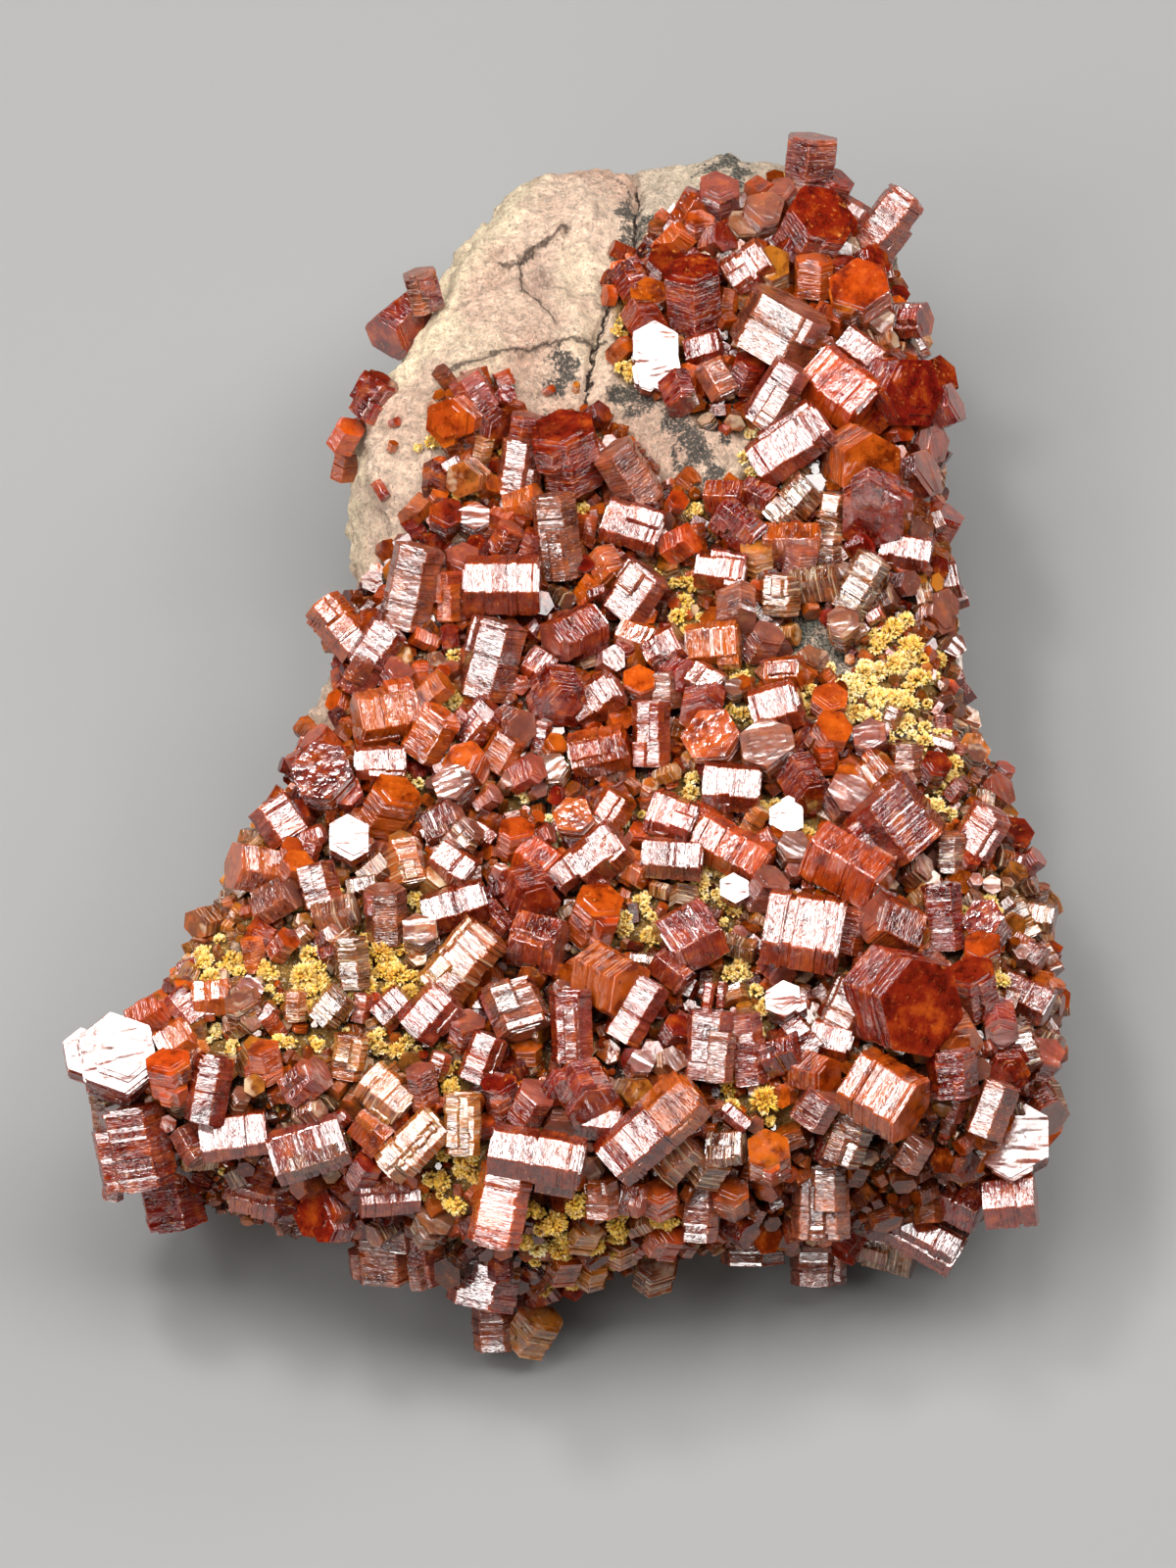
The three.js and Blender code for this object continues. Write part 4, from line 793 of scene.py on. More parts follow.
# The bare end narrows to its upper left edge, and nothing lies below the flat back.
over = 0.95 * np.maximum(line_distance(across, up, LEFT_EDGE)[1] + 0.7, 0) * (up > 30)
rock_points += over[:, None] * (0.79 * ACROSS - 0.61 * UP)
rock_points[:, 2] = np.maximum(rock_points[:, 2], 0)


def mix(a, b, t):
    """Colours from a to b, one for each t."""
    t = np.asarray(t)[:, None]
    return np.asarray(a) * (1 - t) + np.asarray(b) * t


# The rock's colours, linear.
PINK = (0.86, 0.62, 0.46)
PINK_DEEP = (0.68, 0.43, 0.31)
CREAM = (0.97, 0.79, 0.53)
GREY_PALE = (0.36, 0.34, 0.26)
# Nearly black painted shadow for the gaps between the carpet's crystals.
GROUND_PAINTED_SHADE = (0.036, 0.008, 0.003)
GROUND_AMBER = (0.20, 0.075, 0.010)
GROUND_GOLD = (0.46, 0.24, 0.04)
PURPLE = (0.36, 0.20, 0.16)
GREY_TAN = (0.56, 0.47, 0.35)

ground_noise = 0.5 + 1.1 * fractal(rock_points, 0.28, 3, 8)
rock_tint = mix(PINK, PINK_DEEP, np.clip(0.5 + 1.2 * broad, 0, 1))
cream = smooth(-1.8, 0.8, flank + 1.5 * grain) * smooth(18, 26, up)
cream = np.clip(cream + 0.5 * smooth(0.3, 0.6, fractal(rock_points, 0.1, 3, 9)), 0, 1)
rock_tint = mix(rock_tint, CREAM, 0.8 * cream)
rock_tint = mix(rock_tint, PURPLE, 0.7 * pocket)
rock_tint = mix(rock_tint, GREY_TAN, 0.6 * smooth(0.2, -0.4, seams[0][1]) * smooth(51, 56, up))
stain_noise = fractal(rock_points, 0.6, 4, 10)
stained = np.zeros(len(across))
for x, y, r in STAINS:
    d = np.hypot((across - x), (up - y) * 0.7) / r
    dark = smooth(1.3, 0.35, d - 1.1 * stain_noise) * (facing > 0)
    stained = np.maximum(stained, dark)
# The carpet's ground is painted shadow, mixed with its own amber colour and turning gold round the clumps.
ground = mix(GROUND_PAINTED_SHADE, GROUND_AMBER, np.clip(ground_noise, 0, 1) * 0.8)
ground = mix(ground, GROUND_GOLD, 0.8 * near_clumps(across, up, 1.9) * (facing > 0))
tint = mix(rock_tint, ground, crusted)
patch = np.zeros(len(across))
for x, y, r in BARE_PATCHES:
    d = np.hypot(across - x, up - y)
    patch = np.maximum(patch, (1 - smooth(0.7 * r, 1.15 * r, d)) * (facing > 0))
tint = mix(tint, mix(GREY_PALE, PINK, smooth(-0.2, 0.3, stain_noise)), patch * 0.9)
matrix = mesh_object("matrix_rock", rock_points, rock_faces, True)
add_tint(matrix.data, tint)
for k, (d, beside) in enumerate(seams):
    shown = np.where(facing > 0, np.minimum(d, 9), 9)
    add_layer(matrix.data, f"seam_{k}", "FLOAT_VECTOR", np.column_stack([beside, shown, 0 * d]))
add_layer(matrix.data, "stained", "FLOAT", np.maximum(stained * (1 - crusted), patch * 0.75))
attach(matrix, "root")
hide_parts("matrix")

# ---- Where things sit ----
# The large crystals sit on the CAD rock, as they do in the CAD, and the small ones on the rock made here.
ground_tree = BVHTree.FromPolygons(rock_points.tolist(), rock_faces)
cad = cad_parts["matrix"].data
cad_tree = BVHTree.FromPolygons(
    [(np.array(v.co) / MM + CENTRE).tolist() for v in cad.vertices], [tuple(p.vertices) for p in cad.polygons]
)


def hit_below(tree, across, up):
    """What a ray that looks inwards at a place on the display plane meets first: place, normal, face, distance."""
    return tree.ray_cast(Vector(ORIGIN + ACROSS * across + UP * up + OUT * FAR_OUT), Vector(-OUT))


def surface_out(tree, across, up):
    """How far out a surface lies at a place on the display plane, or nearer the middle where there is none."""
    for step in range(50):
        share = 1 - 0.02 * step
        hit = hit_below(tree, across * share, up * share)
        if hit[0] is not None:
            return FAR_OUT - hit[3]
    return 0.0


def crystal_frame(row, tree, sink):
    """The middle of a row's crystal, the way its axis points and the way its first edge lies from the axis."""
    turn, lean, roll = (math.radians(v) for v in (row.heading, row.lift, row.spin))
    along = ACROSS * math.cos(turn) * math.cos(lean) + UP * math.sin(turn) * math.cos(lean)
    axis = along + OUT * math.sin(lean)
    face = OUT - axis * (OUT @ axis)
    face /= np.linalg.norm(face)
    side = np.cross(axis, face)
    edge = face * math.cos(roll) + side * math.sin(roll)
    # The middle's height over the rock: nearly half the length, or most of the radius where the crystal lies flat.
    stand = 0.45 * row.length * abs(math.sin(lean)) + 0.75 * row.radius * math.cos(lean) + 1 + row.perch - sink
    out = surface_out(tree, row.across, row.up) + stand
    return ORIGIN + ACROSS * row.across + UP * row.up + OUT * out, axis, edge


# ---- Crystals ----
SIDE = np.radians(30 + 60 * np.arange(6))  # directions of the six sides' normals, from the edge direction
NORMALS = np.column_stack([np.sin(SIDE), np.cos(SIDE)])


def corners(distances, chamfer):
    """The corners of six-sided rings, whose sides lie at the given distances: (rings, 6 or 12, 2)."""
    before = NORMALS[np.arange(-1, 5)]
    after = NORMALS
    d0, d1 = distances[:, np.arange(-1, 5)], distances
    det = before[:, 0] * after[:, 1] - before[:, 1] * after[:, 0]
    x = (d0 * after[:, 1] - d1 * before[:, 1]) / det
    z = (before[:, 0] * d1 - after[:, 0] * d0) / det
    ring = np.stack([x, z], axis=2)
    if not chamfer:
        return ring
    back = np.roll(ring, 1, axis=1) - ring
    ahead = np.roll(ring, -1, axis=1) - ring
    pair = np.stack([ring + chamfer * back, ring + chamfer * ahead], axis=2)
    return pair.reshape(len(distances), 12, 2)


class Batch:
    """Crystals gathered into one mesh, with what their material needs to know of each point and face."""

    def __init__(self):
        self.points, self.faces, self.caps, self.rims = [], [], [], []
        self.local, self.tints, self.bars = [], [], []
        self.count = 0

    def add(self, points, faces, caps, rims, local, tint, bars):
        """One more crystal; caps and rims have a number for each face, and local its points in its own frame."""
        self.points.append(points)
        self.faces.extend(tuple(i + self.count for i in f) for f in faces)
        self.caps.extend(caps)
        self.rims.extend(rims)
        self.bars.extend([bars] * len(faces))
        self.local.append(local)
        self.tints.append(np.tile(tint, (len(points), 1)))
        self.count += len(points)

    def make(self, name, material):
        """The object of all the crystals."""
        made = mesh_object(name, np.concatenate(self.points), self.faces)
        add_tint(made.data, np.concatenate(self.tints))
        add_layer(made.data, "local", "FLOAT_VECTOR", np.concatenate(self.local))
        for label, values in (("cap", self.caps), ("rim", self.rims), ("bars", self.bars)):
            add_layer(made.data, label, "FLOAT", values, "FACE")
        made.data.materials.append(material)
        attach(made, "root")
        return made


def prism(batch, seat, radius, length, tone, plates, chamfer, rough, terraces, slope, painted_shade=1.0):
    """A six-sided crystal built of plates stacked along its axis, each a bit wider or narrower than the next.

    seat is its middle, axis and first edge; rough is how much the plates differ, as a share of its width; slope is
    how far their sides lean, in degrees; terraces is how many steps rise on each end face; shade darkens its colour
    as painted shadow.
    """
    middle, axis, edge = seat
    third = np.cross(axis, edge)
    apothem = radius * math.cos(math.radians(30))
    shares = np.array([rng.lognormvariate(0, 0.85) for _ in range(plates)])
    cuts = np.concatenate([[0], np.cumsum(shares)]) / shares.sum() * length - length / 2
    base = apothem * np.array([1 + rng.uniform(-0.1, 0.1) for _ in range(6)])
    if abs(axis @ OUT) < 0.75:
        towards = NORMALS @ np.array([third @ OUT, edge @ OUT])
        base[np.argmax(towards)] -= apothem * rng.uniform(0.06, 0.2)
    rings, heights, flags = [], [], []

    def ring(distances, height, cap):
        """One more ring of the stack; cap marks those that lie on an end face."""
        rings.append(distances)
        heights.append(height)
        flags.append(cap)

    def terrace(count, end, height):
        """Raised islands on an end face, from the outermost in."""
        found = []
        distances = base * 0.98
        for _ in range(count):
            distances = distances * np.array([rng.uniform(0.62, 0.95) for _ in range(6)])
            rise = radius * rng.uniform(0.03, 0.09)
            found.append((distances, height, 1.0))
            height += end * rise
            found.append((distances * 0.985, height, 0.0))
        return found

    for distances, height, cap in reversed(terrace(terraces, -1, cuts[0])):
        ring(distances, height, cap)
    for k in range(plates):
        step = apothem * rng.gauss(0, rough)
        offsets = np.array([apothem * rng.gauss(0, rough) for _ in range(6)])
        if plates > 2:
            notch = [rng.uniform(0.04, 0.12) if rng.random() < 0.05 else 0 for _ in range(6)]
            offsets -= apothem * np.array(notch)
        thick = cuts[k + 1] - cuts[k]
        tilt = slope * (0.4 if thick * plates > 1.1 * length else 2.0)
        lean = np.tan(np.radians([rng.gauss(0, tilt) for _ in range(6)])) * thick / 2
        body = base + step + offsets
        ring(body - lean, cuts[k], 0.0)
        ring(body + lean, cuts[k + 1], 0.0)
    for distances, height, cap in terrace(terraces, 1, cuts[-1]):
        ring(distances, height, cap)
    flat = corners(np.maximum(np.array(rings), 0.1 * apothem), chamfer)
    sides = flat.shape[1]
    heights = np.array(heights)
    local = np.empty((len(rings), sides, 3))
    local[:, :, 0] = flat[:, :, 0]
    local[:, :, 1] = heights[:, None]
    local[:, :, 2] = flat[:, :, 1]
    local = local.reshape(-1, 3)
    points = middle + local[:, :1] * third + local[:, 1:2] * axis + local[:, 2:] * edge
    end_tone = CLEAR_END if tone in CLEAR_ENDED else CLOUDY_SHEENED_END
    faces, caps, rims = [tuple(reversed(range(sides)))], [end_tone], [0.0]
    low_caps = 2 * terraces
    for k in range(len(rings) - 1):
        level = abs(heights[k + 1] - heights[k]) < 1e-9
        end = k < low_caps or k >= len(rings) - 1 - low_caps
        for s in range(sides):
            t = (s + 1) % sides
            faces.append((k * sides + s, k * sides + t, (k + 1) * sides + t, (k + 1) * sides + s))
            caps.append(end_tone if level and end else 0.0)
            rims.append(1.0 if chamfer and s % 2 == 0 and not level else 0.0)
    faces.append(tuple(range((len(rings) - 1) * sides, len(rings) * sides)))
    caps.append(end_tone)
    rims.append(0.0)
    shift = np.array([rng.uniform(-50, 50) for _ in range(3)])
    # Its colour is lightened or darkened at random, and darkened by shade, which is painted shadow from the carpet
    # round it.
    light = rng.uniform(0.8, 1.2) * painted_shade
    tint = np.array(TONES[tone]) * light * np.array([1, rng.uniform(0.7, 1.35), rng.uniform(0.8, 1.2)])
    tint[1] = min(tint[1], 0.34 * tint[0])
    batch.add(points, faces, caps, rims, local + shift, np.minimum(tint, 0.9), 1.0 if tone in BARRED else 0.0)


# ---- Materials ----
class Nodes:
    """A material and short ways to add nodes to it."""

    def __init__(self, name):
        self.material = bpy.data.materials.new(name)
        self.material.use_nodes = True
        self.tree = self.material.node_tree
        self.shader = self.tree.nodes["Principled BSDF"]

    def add(self, kind, **values):
        """A new node, with values for its settings and inputs."""
        node = self.tree.nodes.new(kind)
        for key, value in values.items():
            if hasattr(node, key) and key not in node.inputs:
                setattr(node, key, value)
            else:
                node.inputs[key].default_value = value
        return node

    def feed(self, socket, source):
        """Give an input a value, or link it to the output it comes from."""
        if isinstance(source, bpy.types.NodeSocket):
            self.tree.links.new(source, socket)
        else:
            socket.default_value = source

    def attribute(self, name, output):
        return self.add("ShaderNodeAttribute", attribute_name=name).outputs[output]

    def stretched(self, vector, scale):
        """A place scaled along each axis by its own number."""
        node = self.add("ShaderNodeVectorMath", operation="MULTIPLY")
        self.feed(node.inputs[0], vector)
        node.inputs[1].default_value = scale
        return node.outputs[0]

    def noise(self, vector, scale, detail=3.0, roughness=0.5):
        node = self.add("ShaderNodeTexNoise", Scale=scale, Detail=detail, Roughness=roughness)
        self.feed(node.inputs["Vector"], vector)
        return node.outputs[0]

    def spread(self, value, low, high, new_low, new_high):
        """A value taken from one range to another, and held at the ends of the new one."""
        node = self.add("ShaderNodeMapRange")
        for key, number in (("From Min", low), ("From Max", high), ("To Min", new_low), ("To Max", new_high)):
            node.inputs[key].default_value = number
        self.feed(node.inputs["Value"], value)
        return node.outputs[0]

    def grey(self, value):
        """The grey of a value."""
        node = self.add("ShaderNodeCombineColor")
        for socket in node.inputs[:3]:
            self.feed(socket, value)
        return node.outputs[0]

    def blend(self, factor, a, b, mode="MIX"):
        """Two colours, outputs or linear (red, green, blue), blended by a factor."""
        node = self.add("ShaderNodeMix", data_type="RGBA", blend_type=mode)
        self.feed(node.inputs[0], factor)
        for source, socket in ((a, node.inputs[6]), (b, node.inputs[7])):
            self.feed(socket, (*source, 1) if isinstance(source, tuple) else source)
        return node.outputs[2]

    def maths(self, operation, a, b):
        node = self.add("ShaderNodeMath", operation=operation)
        self.feed(node.inputs[0], a)
        self.feed(node.inputs[1], b)
        return node.outputs[0]

    def bump(self, height, strength, distance, after=None):
        """A bump by a height, on top of another bump if after is one."""
        node = self.add("ShaderNodeBump", Distance=distance)
        self.feed(node.inputs["Height"], height)
        self.feed(node.inputs["Strength"], strength)
        if after is not None:
            self.feed(node.inputs["Normal"], after)
        return node.outputs[0]

    def set(self, **values):
        """Feed inputs of the material's shader, with _ for each space in their names."""
        for key, value in values.items():
            self.feed(self.shader.inputs[key.replace("_", " ")], value)


def rock_material():
    """Grainy rock with stains, painted glints and painted shading in its grain, and thin painted shadow lines
    along its crack and ledges.
    """
    n = Nodes("rock")
    place = n.add("ShaderNodeTexCoord").outputs["Object"]
    stained = n.attribute("stained", "Fac")
    fine = n.noise(place, 1000, 6, 0.7)
    speck = n.noise(place, 3300, 2, 0.6)
    # The grain's light and dark is partly painted shading of the fine relief, which the same noise bumps.
    tone = n.spread(fine, 0.3, 0.7, 0.6, 1.65)
    colour = n.blend(1.0, n.attribute("tint", "Color"), n.grey(tone), "MULTIPLY")
    dark = n.spread(speck, 0.58, 0.68, 0.0, 0.5)
    colour = n.blend(dark, colour, (0.16, 0.10, 0.075))
    # Painted glints: light specks that stand in for sparkle on the rock.
    colour = n.blend(n.spread(speck, 0.42, 0.34, 0.0, 0.6), colour, (0.95, 0.84, 0.68))
    reach = n.maths("ADD", n.noise(place, 3000, 3, 0.8), n.maths("MULTIPLY", stained, 0.36))
    colour = n.blend(n.spread(reach, 0.7, 0.82, 0.0, 0.9), colour, (0.034, 0.045, 0.043))
    wander = n.spread(n.noise(place, 600, 3, 0.7), 0.3, 0.7, -0.3, 0.3)
    # Painted shadow: a thin dark line along the crack and along each ledge.
    for k in range(len(SEAMS)):
        split = n.add("ShaderNodeSeparateXYZ")
        n.feed(split.inputs[0], n.attribute(f"seam_{k}", "Vector"))
        off = n.maths("ABSOLUTE", n.maths("ADD", split.outputs[0], wander), 0.0)
        strength = 1.0 if k == 0 else 0.75
        line = n.maths(
            "MULTIPLY", n.spread(off, 0.07, 0.22, strength, 0.0), n.spread(split.outputs[1], 0.5, 1.0, 1.0, 0.0)
        )
        colour = n.blend(line, colour, (0.045, 0.025, 0.018))
    rough_bump = n.bump(n.noise(place, 420, 6, 0.8), 1.0, 0.0016)
    n.set(Base_Color=colour, Roughness=0.88, Normal=n.bump(fine, 1.0, 0.0014, rough_bump), Specular_IOR_Level=0.25)
    return n.material


def crystal_material(name, ior):
    """Glossy red crystal, clouded and striped across its axis, with painted light in its clouds and along its
    bevelled edges, painted glints in its flaws, and cloudy ends paled by a painted sheen.
    """
    n = Nodes(name)
    local = n.attribute("local", "Vector")
    cap = n.attribute("cap", "Fac")
    rim = n.attribute("rim", "Fac")
    bars = n.attribute("bars", "Fac")
    tint = n.attribute("tint", "Color")
    clouds = n.noise(local, 0.42, 4, 0.65)
    # Bright orange painted light, as if light shone through the crystal, for its clouds and bevelled edges.
    painted_glow = n.blend(0.5, tint, (0.70, 0.14, 0.010))
    deep = n.blend(1.0, tint, (0.36, 0.22, 0.2), "MULTIPLY")
    colour = n.blend(n.spread(clouds, 0.36, 0.5, 0.0, 1.0), deep, tint)
    colour = n.blend(n.spread(clouds, 0.52, 0.72, 0.0, 1.0), colour, painted_glow)
    layers = n.noise(n.stretched(local, (0.22, 3.2, 0.22)), 1.0, 3, 0.6)
    colour = n.blend(n.spread(layers, 0.5, 0.68, 0.0, 0.45), colour, deep)
    bar_lines = n.noise(n.stretched(local, (0.12, 2.6, 0.12)), 1.0, 4, 0.75)
    dark_bars = n.maths("MULTIPLY", bars, n.spread(bar_lines, 0.44, 0.36, 0.0, 0.85))
    light_bars = n.maths("MULTIPLY", bars, n.spread(bar_lines, 0.54, 0.62, 0.0, 0.7))
    colour = n.blend(dark_bars, colour, (0.035, 0.012, 0.006))
    colour = n.blend(light_bars, colour, (0.62, 0.46, 0.30))
    flaws = n.noise(n.stretched(local, (1.0, 1.6, 1.0)), 1.3, 4, 0.8)
    colour = n.blend(n.spread(flaws, 0.42, 0.34, 0.0, 0.8), colour, deep)
    # The light flaw specks are painted glints, standing in for inner reflections.
    colour = n.blend(n.spread(flaws, 0.6, 0.7, 0.0, 0.6), colour, (0.80, 0.30, 0.06))
    # Painted light along the bevelled edges, as if light shone through them.
    colour = n.blend(n.maths("MULTIPLY", rim, 0.35), colour, painted_glow)
    # Painted sheen: cloudy end faces are paled towards mauve, standing in for a soft reflection.
    colour = n.blend(n.spread(cap, 0.5, 1.0, 0.0, 0.34), colour, (0.30, 0.115, 0.08))
    steps = n.noise(n.stretched(local, (0.22, 1.9, 0.22)), 1.0, 3, 0.75)
    lines = n.maths("ADD", n.spread(steps, 0.42, 0.47, 0.0, 1.0), n.spread(steps, 0.54, 0.58, 0.0, 1.0))
    dents = n.noise(local, 1.1, 3, 0.5)
    normal = n.bump(lines, n.spread(cap, 0.0, 0.5, 0.7, 0.0), 0.00006)
    normal = n.bump(dents, 0.15, 0.0003, normal)
    swells = n.noise(n.stretched(local, (0.3, 1.0, 1.1)), 0.5, 2, 0.5)
    normal = n.bump(swells, n.spread(cap, 0.5, 1.0, 0.0, 0.4), 0.0009, normal)
    rough = n.maths("ADD", n.spread(dents, 0.35, 0.65, 0.05, 0.14), n.spread(cap, 0.5, 1.0, 0.0, 0.08))
    n.set(Base_Color=colour, Roughness=rough, Normal=normal, IOR=ior)
    n.set(Subsurface_Weight=0.35, Subsurface_Radius=(1.0, 0.2, 0.04), Subsurface_Scale=0.0018)
    n.set(Specular_Tint=(1.0, 0.97, 0.95, 1))
    return n.material


def grain_material():
    """Waxy needles in the colour of their points."""
    n = Nodes("yellow_grains")
    place = n.add("ShaderNodeTexCoord").outputs["Object"]
    tone = n.spread(n.noise(place, 1500, 3, 0.6), 0.3, 0.7, 0.75, 1.2)
    colour = n.blend(1.0, n.attribute("tint", "Color"), n.grey(tone), "MULTIPLY")
    n.set(Base_Color=colour, Roughness=0.3, IOR=1.7)
    n.set(Subsurface_Weight=0.3, Subsurface_Radius=(1.0, 0.7, 0.2), Subsurface_Scale=0.0006)
    return n.material


matrix.data.materials.append(rock_material())
crystal = crystal_material("vanadinite", 2.4)
dull_crystal = crystal_material("vanadinite_druse", 1.85)

# ---- The large crystals ----
capsules = []  # (end, end, radius) of every crystal placed so far


def grow(batch, row, tree, sink=0.0):
    """A row's crystal, with smaller ones at its sides."""
    if row.tone != "pale" and row.lift > STEEPEST:
        row = row._replace(lift=STEEPEST)
    middle, axis, edge = crystal_frame(row, tree, sink)
    radius, length, tone = row.radius, row.length, row.tone
    lowest = middle[2] - abs(axis[2]) * length / 2 - radius * math.sqrt(1 - axis[2] ** 2) - 0.4
    if lowest < 0:  # it would reach the floor, so it moves out
        middle = middle - OUT * lowest / OUT[2]
    barred = tone in BARRED
    plates = max(3, round(length / PLATE))
    rough, slope = (0.028, 9.0) if barred else (0.014, 6.0)
    terraces = rng.choice([0, 1, 1, 2])
    prism(batch, (middle, axis, edge), radius, length, tone, plates, CHAMFER, rough, terraces, slope)
    if radius > SIDE_CRYSTALS_FROM:
        for _ in range(rng.choice([0, 1, 1, 2, 2, 3])):
            around = rng.uniform(0, 2 * math.pi)
            sideways = np.cross(axis, edge) * math.cos(around) + edge * math.sin(around)
            share = rng.uniform(0.35, 0.65)
            part = length * rng.uniform(0.35, 0.85)
            slide = rng.choice([-1, 1]) * ((length - part) / 2 + rng.uniform(-0.12, 0.05) * radius)
            beside = middle + sideways * radius * rng.uniform(0.5, 0.75) + axis * slide
            plates = max(2, round(part / SIDE_PLATE))
            prism(batch, (beside, axis, edge), radius * share, part, tone, plates, CHAMFER, rough, 0, slope)
    half = axis * max(length / 2 - 0.5 * radius, 0.01)
    capsules.append((middle - half, middle + half, radius))


for zone, rows in crystal_rows(CRYSTALS).items():
    batch = Batch()
    for row in rows:
        grow(batch, row, cad_tree)
    made = batch.make(f"{zone}_prisms", crystal)
    stands_for = [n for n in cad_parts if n.startswith(f"{zone}_crystals_")]
    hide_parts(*stands_for)

batch = Batch()
for row in crystal_rows(SMALL_CRYSTALS)["druse"]:
    grow(batch, row, ground_tree, 0.9 if row.radius < 1.65 else 0.5)
placed = batch.make("druse_prisms", crystal)
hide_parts("druse")

# ---- Yellow and cream balls of needles ----
GOLD = np.array((0.56, 0.20, 0.012))
YELLOW = np.array((0.90, 0.55, 0.07))
PALE_YELLOW = np.array((1.0, 0.86, 0.33))
CREAM_WHITE = np.array((0.96, 0.92, 0.70))
AROUND = 2 * np.pi * np.arange(3) / 3
NEEDLE_FACES = [(0, 1 + i, 1 + (i + 1) % 3) for i in range(3)] + [(4, 1 + (i + 1) % 3, 1 + i) for i in range(3)]
needle_points, needle_faces, needle_tints = [], [], []


def needle(at, way, inner, outer, width, base, tip):
    """A three-sided needle, pointed at both ends, widest near its outer one."""
    side = np.cross(way, (0.3, 0.5, 0.8))
    side /= np.linalg.norm(side)
    other = np.cross(way, side)
    waist = at + way * (inner + 0.62 * (outer - inner))
    ring = waist + width * (np.cos(AROUND)[:, None] * side + np.sin(AROUND)[:, None] * other)
    start = 5 * len(needle_points)
    needle_points.append(np.vstack([at + way * inner, ring, at + way * outer]))
    needle_faces.extend((a + start, c + start, b + start) for a, b, c in NEEDLE_FACES)
    needle_tints.append(np.array([base * 0.7, base, base, base, tip]))


def burst(at, normal, radius, cream):
    """A ball of needles that grow out of a place on the ground."""
    middle = at + normal * radius * 0.3
    warm = rng.random()
    for _ in range(int(48 * radius * radius) + 12):
        way = np.array([rng.gauss(0, 1) for _ in range(3)])
        way /= np.linalg.norm(way)
        if way @ normal < -0.25:
            way -= 2 * normal * (way @ normal)
        t = min(1.0, max(0.0, cream + rng.uniform(-0.3, 0.3)))
        darker, lighter = (GOLD, YELLOW) if rng.random() < 0.35 + 0.3 * warm else (YELLOW, PALE_YELLOW)
        base = darker * (1 - t) + lighter * t
        tip = YELLOW * (1 - t) + CREAM_WHITE * t
        outer = radius * rng.uniform(0.9, 1.08)
        needle(middle, way, 0.3 * radius, outer, rng.uniform(0.15, 0.27) * min(1.0, 0.5 + radius), base, tip)


FOOT = -41  # below this the clumps stand further out, over the front wall
clump_spots = []  # (place, radius) of their balls
for x, y, r, cream in CLUMPS:
    offsets = [(0.0, 0.0, 0.85 * r)]
    for _ in range(int(3.4 * r)):
        offsets.append((rng.gauss(0, r), rng.gauss(0, r), rng.uniform(0.45, 0.8) * min(r, 1.5)))
    for dx, dy, size in offsets:
        hit = hit_below(ground_tree, x + dx, y + dy)
        if hit[0] is None:
            continue
        place, normal = np.array(hit[0]) + OUT * (0.5 if y > FOOT else 2.0), np.array(hit[1])
        burst(place, normal, size, cream + 0.02)
        clump_spots.append((tuple(place + normal * 0.3 * size), 0.85 * size))

# ---- The carpet of small crystals ----
triangles = np.array([t for f in rock_faces for t in ([f[:3], (f[0], f[2], f[3])] if len(f) == 4 else [f])])
corner = rock_points[triangles]
crossed = np.cross(corner[:, 1] - corner[:, 0], corner[:, 2] - corner[:, 0])
areas = np.linalg.norm(crossed, axis=1) / 2
normals = crossed / np.maximum(np.linalg.norm(crossed, axis=1, keepdims=True), 1e-12)
in_carpet = crusted[triangles].mean(axis=1)
chance = np.random.default_rng(11)


def spots(count, weights):
    """Random places on the ground and its normals there."""
    picked = chance.choice(len(triangles), count, p=weights / weights.sum())
    a, b = chance.random(count), chance.random(count)
    flip = a + b > 1
    a[flip], b[flip] = 1 - a[flip], 1 - b[flip]
    t = corner[picked]
    places = t[:, 0] + a[:, None] * (t[:, 1] - t[:, 0]) + b[:, None] * (t[:, 2] - t[:, 0])
    return places, normals[picked]


class Crowd:
    """A grid of placed balls, to keep new ones from crowding them. Its cells are wider than two balls reach."""

    def __init__(self, cell):
        self.cell, self.grid = cell, {}

    def key(self, p):
        return tuple(int(math.floor(v / self.cell)) for v in p)

    def put(self, p, r):
        self.grid.setdefault(self.key(p), []).append((p, r))

    def free(self, p, r, share):
        """Whether a ball at p with radius r keeps that share of the two radii away from every other."""
        for cell in product(*((k - 1, k, k + 1) for k in self.key(p))):
            for q, s in self.grid.get(cell, ()):
                apart = (p[0] - q[0]) ** 2 + (p[1] - q[1]) ** 2 + (p[2] - q[2]) ** 2
                if apart < (share * (r + s)) ** 2:
                    return False
        return True


crowd = Crowd(6.0)
for a, b, r in capsules:
    steps = int(np.linalg.norm(b - a) / r) + 1
    for k in range(steps + 1):
        crowd.put(tuple(a + (b - a) * k / steps), r * 0.72)
for place, size in clump_spots:
    crowd.put(place, size)

FRONT_LINE = tuple(zip(*FRONT_EDGE))  # its across and up apart, to find how high the edge is anywhere
LEFT_WALL_END = -38  # the left wall's crystals are small above this


def tone_at(across, up):
    """A tone for a small crystal, by where it grows."""
    if -44 < across < -17 and -30 < up < -6:
        shares = ((0.6, "amber"), (0.7, "brown"), (1.0, "orange"))
    elif across > 33 and -30 < up < 18:
        shares = ((0.3, "brown"), (0.55, "amber"), (0.85, "orange"), (1.0, "mauve"))
    else:
        shares = ((0.22, "red"), (0.76, "orange"), (0.82, "brown"), (0.86, "mauve"), (1.0, "amber"))
    drawn = rng.random()
    return next(tone for up_to, tone in shares if drawn < up_to)


